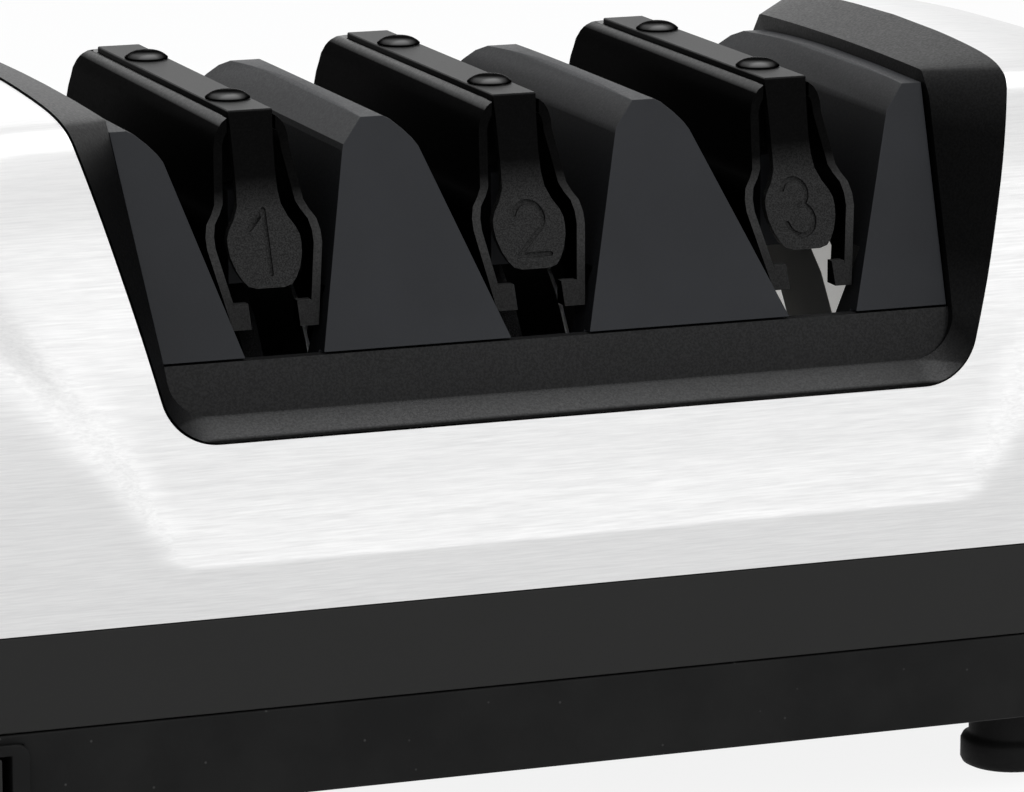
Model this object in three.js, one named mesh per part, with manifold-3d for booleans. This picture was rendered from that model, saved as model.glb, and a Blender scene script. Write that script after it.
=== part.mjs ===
// Electric knife sharpener with three sharpening stages. Millimetres, +Z up, +X to the right from the front.
// The origin is under the middle of the body, on the surface that the four rubber feet stand on.
import * as THREE from "three";
import { mergeVertices } from "three/addons/utils/BufferGeometryUtils.js";
import Module from "manifold-3d";

const wasm = await Module();
wasm.setup();

// Sharpening stages: places of their middle planes, slot half-widths at the sill and lean of the slot walls
const middleStage = -2.1;
const pitchOneTwo = 39.8;
const pitchTwoThree = 42.2;
const firstStage = middleStage - pitchOneTwo;
const thirdStage = middleStage + pitchTwoThree;
const slotHalfWidthOne = 5.7;
const slotHalfWidthTwo = 5.85;
const slotHalfWidthThree = 5.15;
const slotLeanOne = THREE.MathUtils.degToRad(16);
const slotLeanTwo = THREE.MathUtils.degToRad(19.3);
const slotLeanThree = THREE.MathUtils.degToRad(21.7);

// Body: its ends reach past the opening, and the base, the band and the cover stand on one another
const outerFinFoot = 12.3;
const openingHalfWidth = slotHalfWidthOne - firstStage + outerFinFoot;
const endLength = 67.1;
const halfLength = openingHalfWidth + endLength;
const bodyDepth = 110;
const halfDepth = bodyDepth / 2;
const planCornerRadius = 25;
const baseUnderside = 10.8;
const trayHeight = 12.7;
const bandHeight = 13.8;
const coverRise = 69.9;
const seamHeight = baseUnderside + trayHeight;
const coverFootHeight = seamHeight + bandHeight;
const crownHeight = coverFootHeight + coverRise;
const coverWall = 1.6;
const bandWall = 3;
const trayWall = 3;
const trayFloor = 2.5;
const shoulderLength = 55;
const shoulderStart = halfLength - shoulderLength;

// Gaps between pieces
const seatGap = 0.15;
const fitGap = 0.3;
const runningGap = 0.4;
const overrun = 5;

// Opening of the cover and its black frame, seen from the front
const openingDrop = 45.5;
const openingBottom = crownHeight - openingDrop;
const openingLean = THREE.MathUtils.degToRad(14.7);
const openingCornerRadius = 8.5;
const frameBevelRise = 2.8;
const frameInset = 0.6;
const frameInnerHalfWidth = openingHalfWidth - frameInset;
const frameInnerLean = THREE.MathUtils.degToRad(5.3);
const frameInnerCornerRadius = 6.5;
const frameDepth = 3;
const frameProud = 0.3;
const sillDrop = 35.6;
const sillTop = crownHeight - sillDrop;
const sillSetback = 8.5;
const sillDepth = halfDepth - sillSetback;
const sillFootSetback = 6.7;
const sillFootDepth = halfDepth - sillFootSetback;
const sillWall = 2;
const guideLean = THREE.MathUtils.degToRad(27.2);
const frameCrestRise = 1.7;
const frameStandOff = 1.4;
const frameCornerSlope = 1.2;

// Guides between the blade slots
const guideFootDrop = 9.1;
const guideBottom = sillTop - guideFootDrop;
const slotFloorDrop = 1.6;
const slotFloor = sillTop - slotFloorDrop;
const crestDrop = 4.5;
const crestHeight = crownHeight - crestDrop;
const crestArch = 0.5;
const crestEndHeight = crestHeight - crestArch;
const crestRearArch = 1.2;
const crestRearLength = 5.6;
const crestRearDrop = 4.4;
const leftCornerWidth = 5.6;
const rightCornerWidth = 4.3;
const crestCornerHeight = 4.8;
const windowSetback = 6.5;
const windowDepth = sillDepth - windowSetback;
const windowRise = 10;
const windowTop = slotFloor + windowRise;
const metalRimThickness = 0.6;
const polymerRimThickness = 3.5;

// Blade springs, their bridge plates and screws
const bridgeDrop = 2.8;
const bridgeTop = crownHeight - bridgeDrop;
const bridgeSetback = 23.4;
const bridgeHalfLength = halfDepth - bridgeSetback;
const bridgeWidth = 6.6;
const bridgeThickness = 1;
const bridgeBevel = 0.15;
const railWidth = 5.2;
const railDrop = 11.8;
const railTop = bridgeTop - railDrop;
const railThickness = 13.6;
const railFoot = railTop - railThickness;
const railSetback = 2.6;
const railHalfLength = bridgeHalfLength - railSetback;
const railLegSetback = 4.2;
const railLegDepth = sillDepth - railLegSetback;
const railLegThickness = 8;
const plateBossRadius = 2.6;
const springWall = 1.25;
const springShoulderHalfWidth = 5.6;
const springShoulderWidth = 2.9;
const springShoulderHeight = 4.6;
const springWaistHalfWidth = 6.6;
const springLipDrop = 0.75;
const springLipTop = bridgeTop - springLipDrop;
const springSeat = bridgeTop - bridgeThickness - seatGap;
const springBellyHalfWidth = 8.5;
const springBellyDrop = 16.8;
const springBellyHeight = bridgeTop - springBellyDrop;
const springWaistDrop = 12.7;
const springWaistHeight = bridgeTop - springWaistDrop;
const springFrontProud = 0.5;
const springFootRise = 3.5;
const springFootHeight = sillTop + springFootRise;
const springFootSetback = 3.9;
const springFootDepth = sillDepth - springFootSetback;
const springRearReach = 7.6;
const springRearDrop = 6.2;
const springLugHeight = 3.4;
const springLugLength = 3;
const springLugHalfGap = 3.6;
const tabThickness = 1.3;
const tabNeckWidth = 6;
const tabPadWidth = 10.9;
const tabNeckDrop = 10;
const tabNeckHeight = bridgeTop - tabNeckDrop;
const tabDrop = 24;
const tabEndHeight = bridgeTop - tabDrop;
const tabNeckLean = THREE.MathUtils.degToRad(13);
const tabPadLean = THREE.MathUtils.degToRad(25);
const frontScrewSetback = 10.1;
const frontScrewDepth = bridgeHalfLength - frontScrewSetback;
const rearScrewSetback = 14;
const rearScrewDepth = bridgeHalfLength - rearScrewSetback;
const bridgeScrewHeadRadius = 3.25;
const bridgeScrewHeadHeight = 1.2;
const bridgeScrewRadius = 1.4;
const bridgeScrewLength = 18;

// Shaft, discs with their drive pins, and coil springs
const shaftDrop = 55.2;
const shaftHeight = crownHeight - shaftDrop;
const shaftRadius = 3.5;
const rimRadius = 29.2;
const workingStep = 0.6;
const workingRadius = rimRadius - workingStep;
const discTravel = 0.6;
const travelClearance = 0.6;
const workingInner = discTravel + travelClearance;
const workingThickness = 3;
const workingOuter = workingInner + workingThickness;
const workingDish = 0.8;
const tunnelClearance = 1.8;
const windowClearance = 0.9;
const metalRimStart = 10.7;
const polymerRimStart = 11;
const discHubRadius = 9;
const discHubEnd = 16;
const pinRadius = 1;
const pinLength = 16;
const counterboreRadius = 7;
const counterboreDepth = 2;
const coilMeanRadius = 5.5;
const coilWireRadius = 0.6;
const coilTurns = 2.5;

// Motor
const motorSpacing = 42.6;
const motorMiddle = firstStage - motorSpacing;
const stackLength = 25;
const statorHalfWidth = 27;
const statorDrop = 22;
const statorBottom = shaftHeight - statorDrop;
const statorRise = 35;
const statorTop = shaftHeight + statorRise;
const statorLegWidth = 9;
const statorYokeHeight = 12;
const coilWindowHeight = 8;
const rotorRadius = 13.2;
const rotorLength = 19;
const airGap = 0.7;
const coilThickness = 5.7;
const fanRadius = 16;
const fanHubRadius = 7;
const fanWidth = 8;
const fanBackPlate = 1.2;
const fanBladeThickness = 1.4;
const fanBlades = 7;
const bracketThickness = 2;
const bracketHalfWidth = 17;
const bracketRise = 12;
const bracketTop = shaftHeight + bracketRise;
const bracketFootLength = 9;
const bearingRadius = 6.5;
const bearingLength = 6;
const farBearingSpacing = 30.9;
const farBearing = thirdStage + farBearingSpacing;
const shaftStub = 6;
const shaftRightEnd = farBearing + shaftStub;
const shaftFanReach = 30.5;
const shaftLeftEnd = motorMiddle - shaftFanReach;

// Feet and base screws
const footEndSetback = 53.2;
const footSpacingHalfX = halfLength - footEndSetback;
const footSideSetback = 14;
const footSpacingHalfY = halfDepth - footSideSetback;
const footPadRadius = 7.3;
const footPadHeight = 4.5;
const footNeckRadius = 6.1;
const footPadBevel = 0.9;
const baseScrewEndSetback = 23;
const baseScrewHalfX = halfLength - baseScrewEndSetback;
const baseScrewSideSetback = 19;
const baseScrewHalfY = halfDepth - baseScrewSideSetback;
const baseScrewHeadRadius = 3.6;
const baseScrewHeadHeight = 1.6;
const baseScrewRadius = 1.7;
const baseScrewLength = 12;
const bossRadius = 4.6;
const bossHeight = 12;

// Power switch, on the front of the tray
const switchSetback = 29.25;
const switchMiddleX = switchSetback - halfLength;
const switchRise = 6.3;
const switchHeight = baseUnderside + switchRise;
const switchFlangeLength = 30.5;
const switchFlangeHeight = 10.4;
const switchFlangeCorner = 1.8;
const switchRim = 1.6;
const switchBodyDepth = 10;
const rockerLength = 23.6;
const rockerDepth = 5.5;
const rockerAngle = THREE.MathUtils.degToRad(7);
const rockerPivotSetback = 3.5;
const rockerPivotDepth = halfDepth - rockerPivotSetback;
const rockerEndGap = 2.56;
const fittingProud = 1;

// Rear fittings: cord gland and the lever that dresses the third stage's discs
const rearFittingRise = 6.8;
const glandSetback = 27;
const glandX = glandSetback - halfLength;
const glandHeight = seamHeight + rearFittingRise;
const glandFlangeRadius = 8;
const glandNeckRadius = 5.7;
const glandBoreRadius = 3.2;
const glandNeckLength = 4.5;
const leverHeight = seamHeight + rearFittingRise;
const leverPivotSetback = 10;
const leverPivotDepth = halfDepth - leverPivotSetback;
const leverHubRadius = 4;
const leverPinRadius = 1.6;
const leverHubHeight = 6.4;
const leverPaddleWidth = 5;
const leverSlotHalfWidth = 8;
const padHeight = 8;
const padReach = 4;
const padStandOff = 1.4;
const padThickness = 1.4;
const prongWidth = 2.2;
const armThickness = 2.6;

// Clean-out cover in the floor of the tray
const cleanOutLength = 96;
const cleanOutDepth = 40;
const cleanOutCorner = 4;
const magnetLength = 60;
const magnetDepth = 9;
const magnetHeight = 3.5;

// Colours
const finish = {
  cover: { color: 0xc9cacb, roughness: 0.32, metalness: 1 },
  frame: { color: 0x1a1a1b, roughness: 0.45, metalness: 0 },
  guide: { color: 0x2b2c2f, roughness: 0.6, metalness: 0 },
  spring: { color: 0x1b1a19, roughness: 0.35, metalness: 0 },
  bridge: { color: 0x1e1e1e, roughness: 0.55, metalness: 0 },
  band: { color: 0x232322, roughness: 0.4, metalness: 0 },
  tray: { color: 0x191918, roughness: 0.55, metalness: 0 },
  rubber: { color: 0x111111, roughness: 0.8, metalness: 0 },
  steel: { color: 0x9a9a9a, roughness: 0.3, metalness: 1 },
  blackScrew: { color: 0x161616, roughness: 0.35, metalness: 0.6 },
  diamond: { color: 0x34343a, roughness: 0.7, metalness: 0.5 },
  polymer: { color: 0xe4e0d4, roughness: 0.6, metalness: 0 },
  copper: { color: 0xb06a35, roughness: 0.4, metalness: 0.8 },
  bronze: { color: 0xa07a3c, roughness: 0.4, metalness: 0.9 },
  fan: { color: 0x2a2a2a, roughness: 0.6, metalness: 0 },
  magnet: { color: 0x3a3835, roughness: 0.7, metalness: 0.2 },
};

const stages = [
  {
    middle: firstStage,
    halfWidth: slotHalfWidthOne,
    lean: slotLeanOne,
    rimStart: metalRimStart,
    rim: metalRimThickness,
    face: finish.diamond,
  },
  {
    middle: middleStage,
    halfWidth: slotHalfWidthTwo,
    lean: slotLeanTwo,
    rimStart: metalRimStart,
    rim: metalRimThickness,
    face: finish.diamond,
  },
  {
    middle: thirdStage,
    halfWidth: slotHalfWidthThree,
    lean: slotLeanThree,
    rimStart: polymerRimStart,
    rim: polymerRimThickness,
    face: finish.polymer,
  },
];

// A closed geometry as a solid, with shared vertices merged and empty triangles left out
function solid(geometry) {
  const plain = geometry.clone();
  plain.deleteAttribute("normal");
  plain.deleteAttribute("uv");
  const merged = mergeVertices(plain, 1e-4);
  const source = merged.index.array;
  const kept = [];
  for (let i = 0; i < source.length; i += 3) {
    const [a, b, c] = [source[i], source[i + 1], source[i + 2]];
    if (a !== b && b !== c && c !== a) kept.push(a, b, c);
  }
  const make = (triangles) =>
    new wasm.Manifold(
      new wasm.Mesh({
        numProp: 3,
        vertProperties: new Float32Array(merged.attributes.position.array),
        triVerts: new Uint32Array(triangles),
      }),
    );
  const first = make(kept);
  if (first.volume() > 0) return first;
  for (let i = 0; i < kept.length; i += 3) [kept[i], kept[i + 1]] = [kept[i + 1], kept[i]];
  return make(kept);
}

// A solid back as a geometry
function geometryOf(body) {
  const mesh = body.getMesh();
  const geometry = new THREE.BufferGeometry();
  const count = mesh.numProp;
  const places = new Float32Array(mesh.numVert * 3);
  for (let i = 0; i < mesh.numVert; i++) {
    places.set(mesh.vertProperties.subarray(i * count, i * count + 3), i * 3);
  }
  geometry.setAttribute("position", new THREE.BufferAttribute(places, 3));
  geometry.setIndex(new THREE.BufferAttribute(new Uint32Array(mesh.triVerts), 1));
  geometry.computeVertexNormals();
  return geometry;
}

// An outline of [a, b] points as a shape
function outline(points) {
  return new THREE.Shape(points.map(([a, b]) => new THREE.Vector2(a, b)));
}

// An outline of [x, z] points, extruded along Y from one depth to another
function alongY(points, fromY, toY) {
  const geometry = new THREE.ExtrudeGeometry(outline(points), {
    depth: toY - fromY,
    bevelEnabled: false,
  });
  geometry.rotateX(Math.PI / 2);
  geometry.translate(0, toY, 0);
  return solid(geometry);
}

// An outline of [y, z] points, extruded along X
function alongX(points, fromX, toX) {
  const geometry = new THREE.ExtrudeGeometry(outline(points), {
    depth: toX - fromX,
    bevelEnabled: false,
  });
  const turn = new THREE.Matrix4().makeBasis(
    new THREE.Vector3(0, 1, 0),
    new THREE.Vector3(0, 0, 1),
    new THREE.Vector3(1, 0, 0),
  );
  geometry.applyMatrix4(turn);
  geometry.translate(fromX, 0, 0);
  return solid(geometry);
}

// An outline of [x, y] points, extruded upwards
function upwards(points, fromZ, toZ) {
  const geometry = new THREE.ExtrudeGeometry(outline(points), {
    depth: toZ - fromZ,
    bevelEnabled: false,
  });
  geometry.translate(0, 0, fromZ);
  return solid(geometry);
}

function box(fromX, toX, fromY, toY, fromZ, toZ) {
  const geometry = new THREE.BoxGeometry(toX - fromX, toY - fromY, toZ - fromZ);
  geometry.translate((fromX + toX) / 2, (fromY + toY) / 2, (fromZ + toZ) / 2);
  return solid(geometry);
}

// Closed profiles of [radius, height along the axis], turned round the X or the Z axis
function turnedOnX(profile, sides) {
  const points = [...profile, profile[0]].map(([r, a]) => new THREE.Vector2(r, a));
  return solid(new THREE.LatheGeometry(points, sides).rotateZ(-Math.PI / 2));
}

function turnedOnY(profile, sides) {
  const points = [...profile, profile[0]].map(([r, a]) => new THREE.Vector2(r, a));
  return solid(new THREE.LatheGeometry(points, sides));
}

function turnedOnZ(profile, sides) {
  const points = [...profile, profile[0]].map(([r, a]) => new THREE.Vector2(r, a));
  return solid(new THREE.LatheGeometry(points, sides).rotateX(Math.PI / 2));
}

function barOnX(radius, fromX, toX, sides) {
  return turnedOnX(
    [
      [0, fromX],
      [radius, fromX],
      [radius, toX],
      [0, toX],
    ],
    sides,
  );
}

function barOnY(radius, fromY, toY, sides) {
  return turnedOnY(
    [
      [0, fromY],
      [radius, fromY],
      [radius, toY],
      [0, toY],
    ],
    sides,
  );
}

function barOnZ(radius, fromZ, toZ, sides) {
  return turnedOnZ(
    [
      [0, fromZ],
      [radius, fromZ],
      [radius, toZ],
      [0, toZ],
    ],
    sides,
  );
}

// A rectangle with round corners, as [a, b] points round its middle
function roundedRectangle(halfA, halfB, radius, steps) {
  const points = [];
  const corners = [
    [1, 1],
    [-1, 1],
    [-1, -1],
    [1, -1],
  ];
  corners.forEach(([signA, signB], quarter) => {
    for (let i = 0; i <= steps; i++) {
      const angle = ((quarter + i / steps) * Math.PI) / 2;
      points.push([
        signA * (halfA - radius) + radius * Math.cos(angle),
        signB * (halfB - radius) + radius * Math.sin(angle),
      ]);
    }
  });
  return points;
}

// A skin through rings of points; a closed loop joins its last ring to its first, an open one gets flat ends
function loft(rings, closedLoop) {
  const width = rings[0].length;
  const places = rings.flatMap((ring) => ring.flatMap((p) => [p.x, p.y, p.z]));
  const triangles = [];
  const last = closedLoop ? rings.length : rings.length - 1;
  for (let i = 0; i < last; i++) {
    const next = (i + 1) % rings.length;
    for (let j = 0; j < width; j++) {
      const side = (j + 1) % width;
      const [a, b, c, d] = [i * width + j, next * width + j, next * width + side, i * width + side];
      triangles.push(a, b, c, a, c, d);
    }
  }
  if (!closedLoop) {
    for (const [index, flip] of [
      [0, false],
      [rings.length - 1, true],
    ]) {
      const flat = rings[index].map((p) => new THREE.Vector2(p.y, p.z));
      for (const face of THREE.ShapeUtils.triangulateShape(flat, [])) {
        const [a, b, c] = face.map((k) => index * width + k);
        triangles.push(...(flip ? [a, b, c] : [a, c, b]));
      }
    }
  }
  const geometry = new THREE.BufferGeometry();
  geometry.setAttribute("position", new THREE.Float32BufferAttribute(places, 3));
  geometry.setIndex(triangles);
  return solid(geometry);
}

// Side outline of the cover over its opening, from foot to crown: shares of half the depth and of the rise
const panelShares = [
  [1, 0],
  [1, 0.09],
  [0.987, 0.113],
  [0.974, 0.225],
  [0.961, 0.339],
  [0.942, 0.484],
  [0.916, 0.601],
  [0.862, 0.756],
  [0.818, 0.848],
  [0.782, 0.908],
  [0.756, 0.942],
  [0.718, 0.962],
  [0.645, 0.977],
  [0.525, 0.987],
  [0.327, 0.995],
  [0.155, 0.998],
  [0, 1],
];
// How far the ends stand out past that outline at the same heights, as shares of half the depth
const bulgeShares = [
  0, 0, 0.012, 0.024, 0.036, 0.046, 0.05, 0.045, 0.032, 0.018, 0.008, 0, 0, 0, 0, 0, 0,
];
const creaseMargin = 0.1;
const creaseStart = openingHalfWidth + creaseMargin;
const creaseSlope = 1.19;
const creaseRise = 6.9;
const creaseHeight = coverFootHeight + creaseRise;
const creaseWidth = 1.2;
const creaseEndWidth = 6;
const creaseGrowth = 20;
const shoulderPower = 2.5;
const endHeightShare = 0.2;

// The cover's outline at the panel, as [depth, height]
const panelOutline = panelShares.map(([depth, rise]) => [
  depth * halfDepth,
  coverFootHeight + rise * coverRise,
]);

// Depth of the cover's surface at a height, over the opening
function panelDepth(height) {
  for (let i = 1; i < panelOutline.length; i++) {
    const [d0, z0] = panelOutline[i - 1];
    const [d1, z1] = panelOutline[i];
    if (height <= z1) return d0 + ((height - z0) / (z1 - z0)) * (d1 - d0);
  }
  return 0;
}

function smoothShare(value) {
  return THREE.MathUtils.smoothstep(value, 0, 1);
}

// Share of the ends' bulge at a place on the cover: 0 in the scoop round the opening, 1 outside its crease
function bulgeAt(x, height) {
  const past = Math.max(0, Math.abs(x) - creaseStart);
  const crease = creaseHeight + past * creaseSlope;
  const slant = past > 0 ? Math.cos(Math.atan(creaseSlope)) : 1;
  const grown = THREE.MathUtils.clamp(past / creaseGrowth, 0, 1);
  const width = THREE.MathUtils.lerp(creaseWidth, creaseEndWidth, grown);
  return 1 - smoothShare(((height - crease) * slant) / width);
}

// Half depth of the rounded plan at a place along the length, as a share
function planShare(x) {
  const past = Math.abs(x) - (halfLength - planCornerRadius);
  if (past <= 0) return 1;
  const inset = planCornerRadius - Math.sqrt(Math.max(0, planCornerRadius ** 2 - past ** 2));
  return 1 - inset / halfDepth;
}

// Height of the crown at a place along the length, as a share of the cover's rise
function shoulderShare(x) {
  const past = (Math.abs(x) - shoulderStart) / (halfLength - shoulderStart);
  if (past <= 0) return 1;
  const drop = Math.max(0, 1 - Math.min(1, past) ** shoulderPower) ** (1 / shoulderPower);
  return Math.max(endHeightShare, drop);
}

// One upright section of the cover, closed along its foot
function coverRing(x, inset, foot) {
  const alongShare = planShare(x);
  const riseShare = shoulderShare(x);
  const place = (x * (halfLength - inset)) / halfLength;
  const front = panelOutline.map(([depth, height], i) => {
    const full = depth + bulgeShares[i] * halfDepth * bulgeAt(x, height);
    const y = full * alongShare * (1 - inset / halfDepth);
    const z = coverFootHeight + (height - coverFootHeight) * riseShare * (1 - inset / coverRise);
    return new THREE.Vector3(place, -y, i === 0 ? foot : z);
  });
  const back = front.slice(0, -1).reverse();
  return [...front, ...back.map((p) => new THREE.Vector3(p.x, -p.y, p.z))];
}

// Places along the length where the cover's sections lie, as shares of half the length
const outerShares = [
  0.46, 0.49, 0.52, 0.55, 0.585, 0.625, 0.67, 0.72, 0.77, 0.82, 0.87, 0.91, 0.945, 0.975, 1,
];
const innerShares = [0.46, 0.52, 0.585, 0.67, 0.77, 0.87, 0.945, 1];

function coverBody(inset, foot, shares) {
  const right = shares.map((share) => share * halfLength);
  const places = [...right.map((x) => -x).reverse(), ...right];
  return loft(
    places.map((x) => coverRing(x, inset, foot)),
    false,
  );
}

function openingHalf(height) {
  return openingHalfWidth + (height - openingBottom) * Math.tan(openingLean);
}

function frameInnerHalf(height) {
  return frameInnerHalfWidth + (height - openingBottom - frameBevelRise) * Math.tan(frameInnerLean);
}

// A corner between a level bottom and a side that leans out, as [x, z] points
function leaningCorner(bottom, halfAt, lean, radius, steps) {
  const centreZ = bottom + radius;
  const centreX = halfAt(centreZ) - radius / Math.cos(lean);
  const points = [];
  for (let i = 0; i <= steps; i++) {
    const angle = -Math.PI / 2 + (i / steps) * (Math.PI / 2 - lean);
    points.push([centreX + radius * Math.cos(angle), centreZ + radius * Math.sin(angle)]);
  }
  return points;
}

const cornerSteps = 5;

function metalCover() {
  const gapHalf = (height) => openingHalf(height) + fitGap;
  const bottom = openingBottom - fitGap;
  const corner = leaningCorner(bottom, gapHalf, openingLean, openingCornerRadius, cornerSteps);
  const top = crownHeight + overrun;
  const right = [...corner, [gapHalf(top), top]];
  const left = right.map(([x, z]) => [-x, z]).reverse();
  const opening = alongY([...right, ...left], -halfDepth - overrun, halfDepth + overrun);
  return coverBody(0, coverFootHeight, outerShares)
    .subtract(coverBody(coverWall, coverFootHeight - overrun, innerShares))
    .subtract(opening);
}

// Depth of the guides' front faces at a height
function guideDepth(height) {
  return sillDepth - (height - sillTop) * Math.tan(guideLean);
}

// Height of the guides' crest at a depth: it falls by an arch from the middle to the end of the crest
function crestAt(depth, arch) {
  return crestHeight - arch * (depth / guideDepth(crestEndHeight)) ** 2;
}

// Depth of the frame's inner edge at a height
function frameInnerDepth(height) {
  return Math.min(sillFootDepth, guideDepth(height) + frameStandOff);
}

// Outer and inner edge of the frame, from the middle of its bottom up one side to the crown
function frameEdges() {
  const bottomInner = openingBottom + frameBevelRise;
  const outerRadius = openingCornerRadius;
  const innerRadius = frameInnerCornerRadius;
  const outerCorner = leaningCorner(openingBottom, openingHalf, openingLean, outerRadius, cornerSteps);
  const innerCorner = leaningCorner(bottomInner, frameInnerHalf, frameInnerLean, innerRadius, cornerSteps);
  const edges = [];
  const add = (outer, inner) => edges.push({ outer, inner });
  const onPanel = ([x, z]) => new THREE.Vector3(x, -panelDepth(z), z);
  const onInner = ([x, z]) => new THREE.Vector3(x, -frameInnerDepth(z), z);
  add(onPanel([0, openingBottom]), onInner([0, bottomInner]));
  outerCorner.forEach((point, i) => add(onPanel(point), onInner(innerCorner[i])));
  const outerFrom = outerCorner.at(-1)[1];
  const innerFrom = innerCorner.at(-1)[1];
  const turnIndex = 9;
  const outerTo = panelOutline[turnIndex][1];
  const innerTo = crestEndHeight - frameCrestRise;
  for (const [, height] of panelOutline.slice(0, turnIndex + 1)) {
    if (height <= outerFrom + 1e-6) continue;
    const share = (height - outerFrom) / (outerTo - outerFrom);
    const inner = THREE.MathUtils.lerp(innerFrom, innerTo, share);
    add(onPanel([openingHalf(height), height]), onInner([frameInnerHalf(inner), inner]));
  }
  const crown = panelOutline.slice(turnIndex + 1);
  const innerStart = frameInnerDepth(innerTo);
  for (const [depth, height] of crown) {
    const share = depth / panelOutline[turnIndex][0];
    const innerY = innerStart * share;
    const slopeZ = innerTo + (innerStart - innerY) * frameCornerSlope;
    const innerZ = Math.min(crestAt(innerY, crestArch) + frameCrestRise, slopeZ);
    add(
      new THREE.Vector3(openingHalf(height), -depth, height),
      new THREE.Vector3(frameInnerHalf(innerTo), -innerY, innerZ),
    );
  }
  return edges;
}

// The frame's section at one place: proud outer edge, inner edge, and both set in behind the cover
function frameSection({ outer, inner }) {
  const inwards = new THREE.Vector3(0, -outer.y, seamHeight + coverRise / 2 - outer.z).normalize();
  const moved = (point, distance, lean) => {
    const shift = inwards.clone().multiplyScalar(distance);
    if (point.x > 0) shift.x = shift.z * Math.tan(lean);
    return point.clone().add(shift);
  };
  return [
    moved(outer, -frameProud, openingLean),
    inner.clone(),
    moved(inner, frameDepth, frameInnerLean),
    moved(outer, frameDepth, openingLean),
  ];
}

function cradleFrame() {
  const quarter = frameEdges().map(frameSection);
  const flipX = (ring) => ring.map((p) => new THREE.Vector3(-p.x, p.y, p.z));
  const flipY = (ring) => ring.map((p) => new THREE.Vector3(p.x, -p.y, p.z));
  const backRight = quarter.slice(0, -1).reverse().map(flipY);
  const backLeft = quarter.slice(1).map(flipY).map(flipX);
  const frontLeft = quarter.slice(1, -1).reverse().map(flipX);
  const ring = loft([...quarter, ...backRight, ...backLeft, ...frontLeft], true);
  const sillBottom = openingBottom + frameBevelRise / 2;
  const sill = [
    [-sillFootDepth, openingBottom + frameBevelRise],
    [-sillDepth, sillTop],
    [-sillDepth + sillWall, sillTop],
    [-sillDepth + sillWall, sillBottom],
    [-sillFootDepth, sillBottom],
  ];
  const half = openingHalf(openingBottom);
  const front = alongX(sill, -half, half);
  const back = alongX(sill.map(([y, z]) => [-y, z]).reverse(), -half, half);
  return ring.add(front).add(back);
}

function wallAt(stage, side, height) {
  return stage.middle + side * (stage.halfWidth + (height - sillTop) * Math.tan(stage.lean));
}

// Shares of a crest corner's width and height: rounded on the left of a slot, cut straight on its right
const leftCornerShares = [
  [0, 0],
  [0.13, 0.22],
  [0.36, 0.5],
  [0.66, 0.8],
  [1, 1],
];
const rightCornerShares = [
  [0, 0],
  [0.08, 0.17],
  [0.86, 0.93],
  [1, 1],
];

// Front outline of the guides as one comb: the outer sides, and the slot walls up to their crests
function guideComb() {
  const shoulder = crestHeight - crestCornerHeight;
  const outerFoot = frameInnerHalf(openingBottom + frameBevelRise) - runningGap;
  const outerTop = frameInnerHalf(crestEndHeight) - runningGap;
  const points = [
    [-outerFoot, guideBottom],
    [-outerTop, crestHeight],
  ];
  for (const stage of stages) {
    const corner = (side, shares, width) =>
      shares.map(([across, up]) => [
        wallAt(stage, side, shoulder) + side * across * width,
        shoulder + up * crestCornerHeight,
      ]);
    points.push(...corner(-1, leftCornerShares, leftCornerWidth).reverse());
    points.push([wallAt(stage, -1, slotFloor), slotFloor]);
    points.push([wallAt(stage, 1, slotFloor), slotFloor]);
    points.push(...corner(1, rightCornerShares, rightCornerWidth));
  }
  points.push([outerTop, crestHeight]);
  points.push([outerFoot, guideBottom]);
  return points.reverse();
}

// Shares of the length and drop of the crest's rounded rear end
const rearEndShares = [
  [0.5, 0.22],
  [0.8, 0.55],
];

// Side outline of the guides, from the front foot over the crest and its rounded rear end to the back foot
function guideSide() {
  const barDepth = sillDepth - sillWall - fitGap;
  const foot = [
    [barDepth, guideBottom],
    [barDepth, sillTop + fitGap],
    [guideDepth(sillTop + fitGap), sillTop + fitGap],
  ];
  const front = foot.map(([y, z]) => [-y, z]);
  const steps = 6;
  const crestDepth = guideDepth(crestEndHeight);
  for (let i = 0; i <= steps; i++) {
    const depth = crestDepth * (1 - i / steps);
    front.push([-depth, crestAt(depth, crestArch)]);
  }
  const rearHeight = crestHeight - crestRearArch - crestRearDrop;
  const rearStart = guideDepth(rearHeight) - crestRearLength;
  const back = [];
  for (let i = 1; i <= steps; i++) {
    const depth = (rearStart * i) / steps;
    back.push([depth, crestAt(depth, crestRearArch)]);
  }
  const startHeight = crestAt(rearStart, crestRearArch);
  for (const [along, down] of rearEndShares) {
    const height = THREE.MathUtils.lerp(startHeight, rearHeight, down);
    back.push([rearStart + along * crestRearLength, height]);
  }
  back.push([guideDepth(rearHeight), rearHeight]);
  return [...front, ...back, ...foot.reverse()].reverse();
}

// The rail under a stage's spring and bridge plate: it arches over the discs to a leg at the rear
function bridgeRail(stage) {
  const legFront = railLegDepth - railLegThickness;
  const bend = (railTop - railFoot) / 2;
  const side = [
    [-railHalfLength, railFoot],
    [legFront - bend, railFoot],
    [legFront, guideBottom],
    [railLegDepth, guideBottom],
    [railLegDepth, slotFloor],
    [railLegDepth - bend / 2, railFoot],
    [railHalfLength, railTop],
    [-railHalfLength, railTop],
  ];
  const half = railWidth / 2;
  return alongX(side, stage.middle - half, stage.middle + half);
}

// The window under a stage that lets its discs stand up between the slot walls
function discWindow(stage) {
  const half = stage.rimStart + stage.rim + windowClearance;
  const from = stage.middle - half;
  return box(from, from + 2 * half, -windowDepth, windowDepth, guideBottom - overrun, windowTop);
}

function screwHoles(stage, radius, fromZ, toZ) {
  return [-frontScrewDepth, rearScrewDepth].map((depth) =>
    barOnZ(radius, fromZ, toZ, 10).translate(stage.middle, depth, 0),
  );
}

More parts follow.
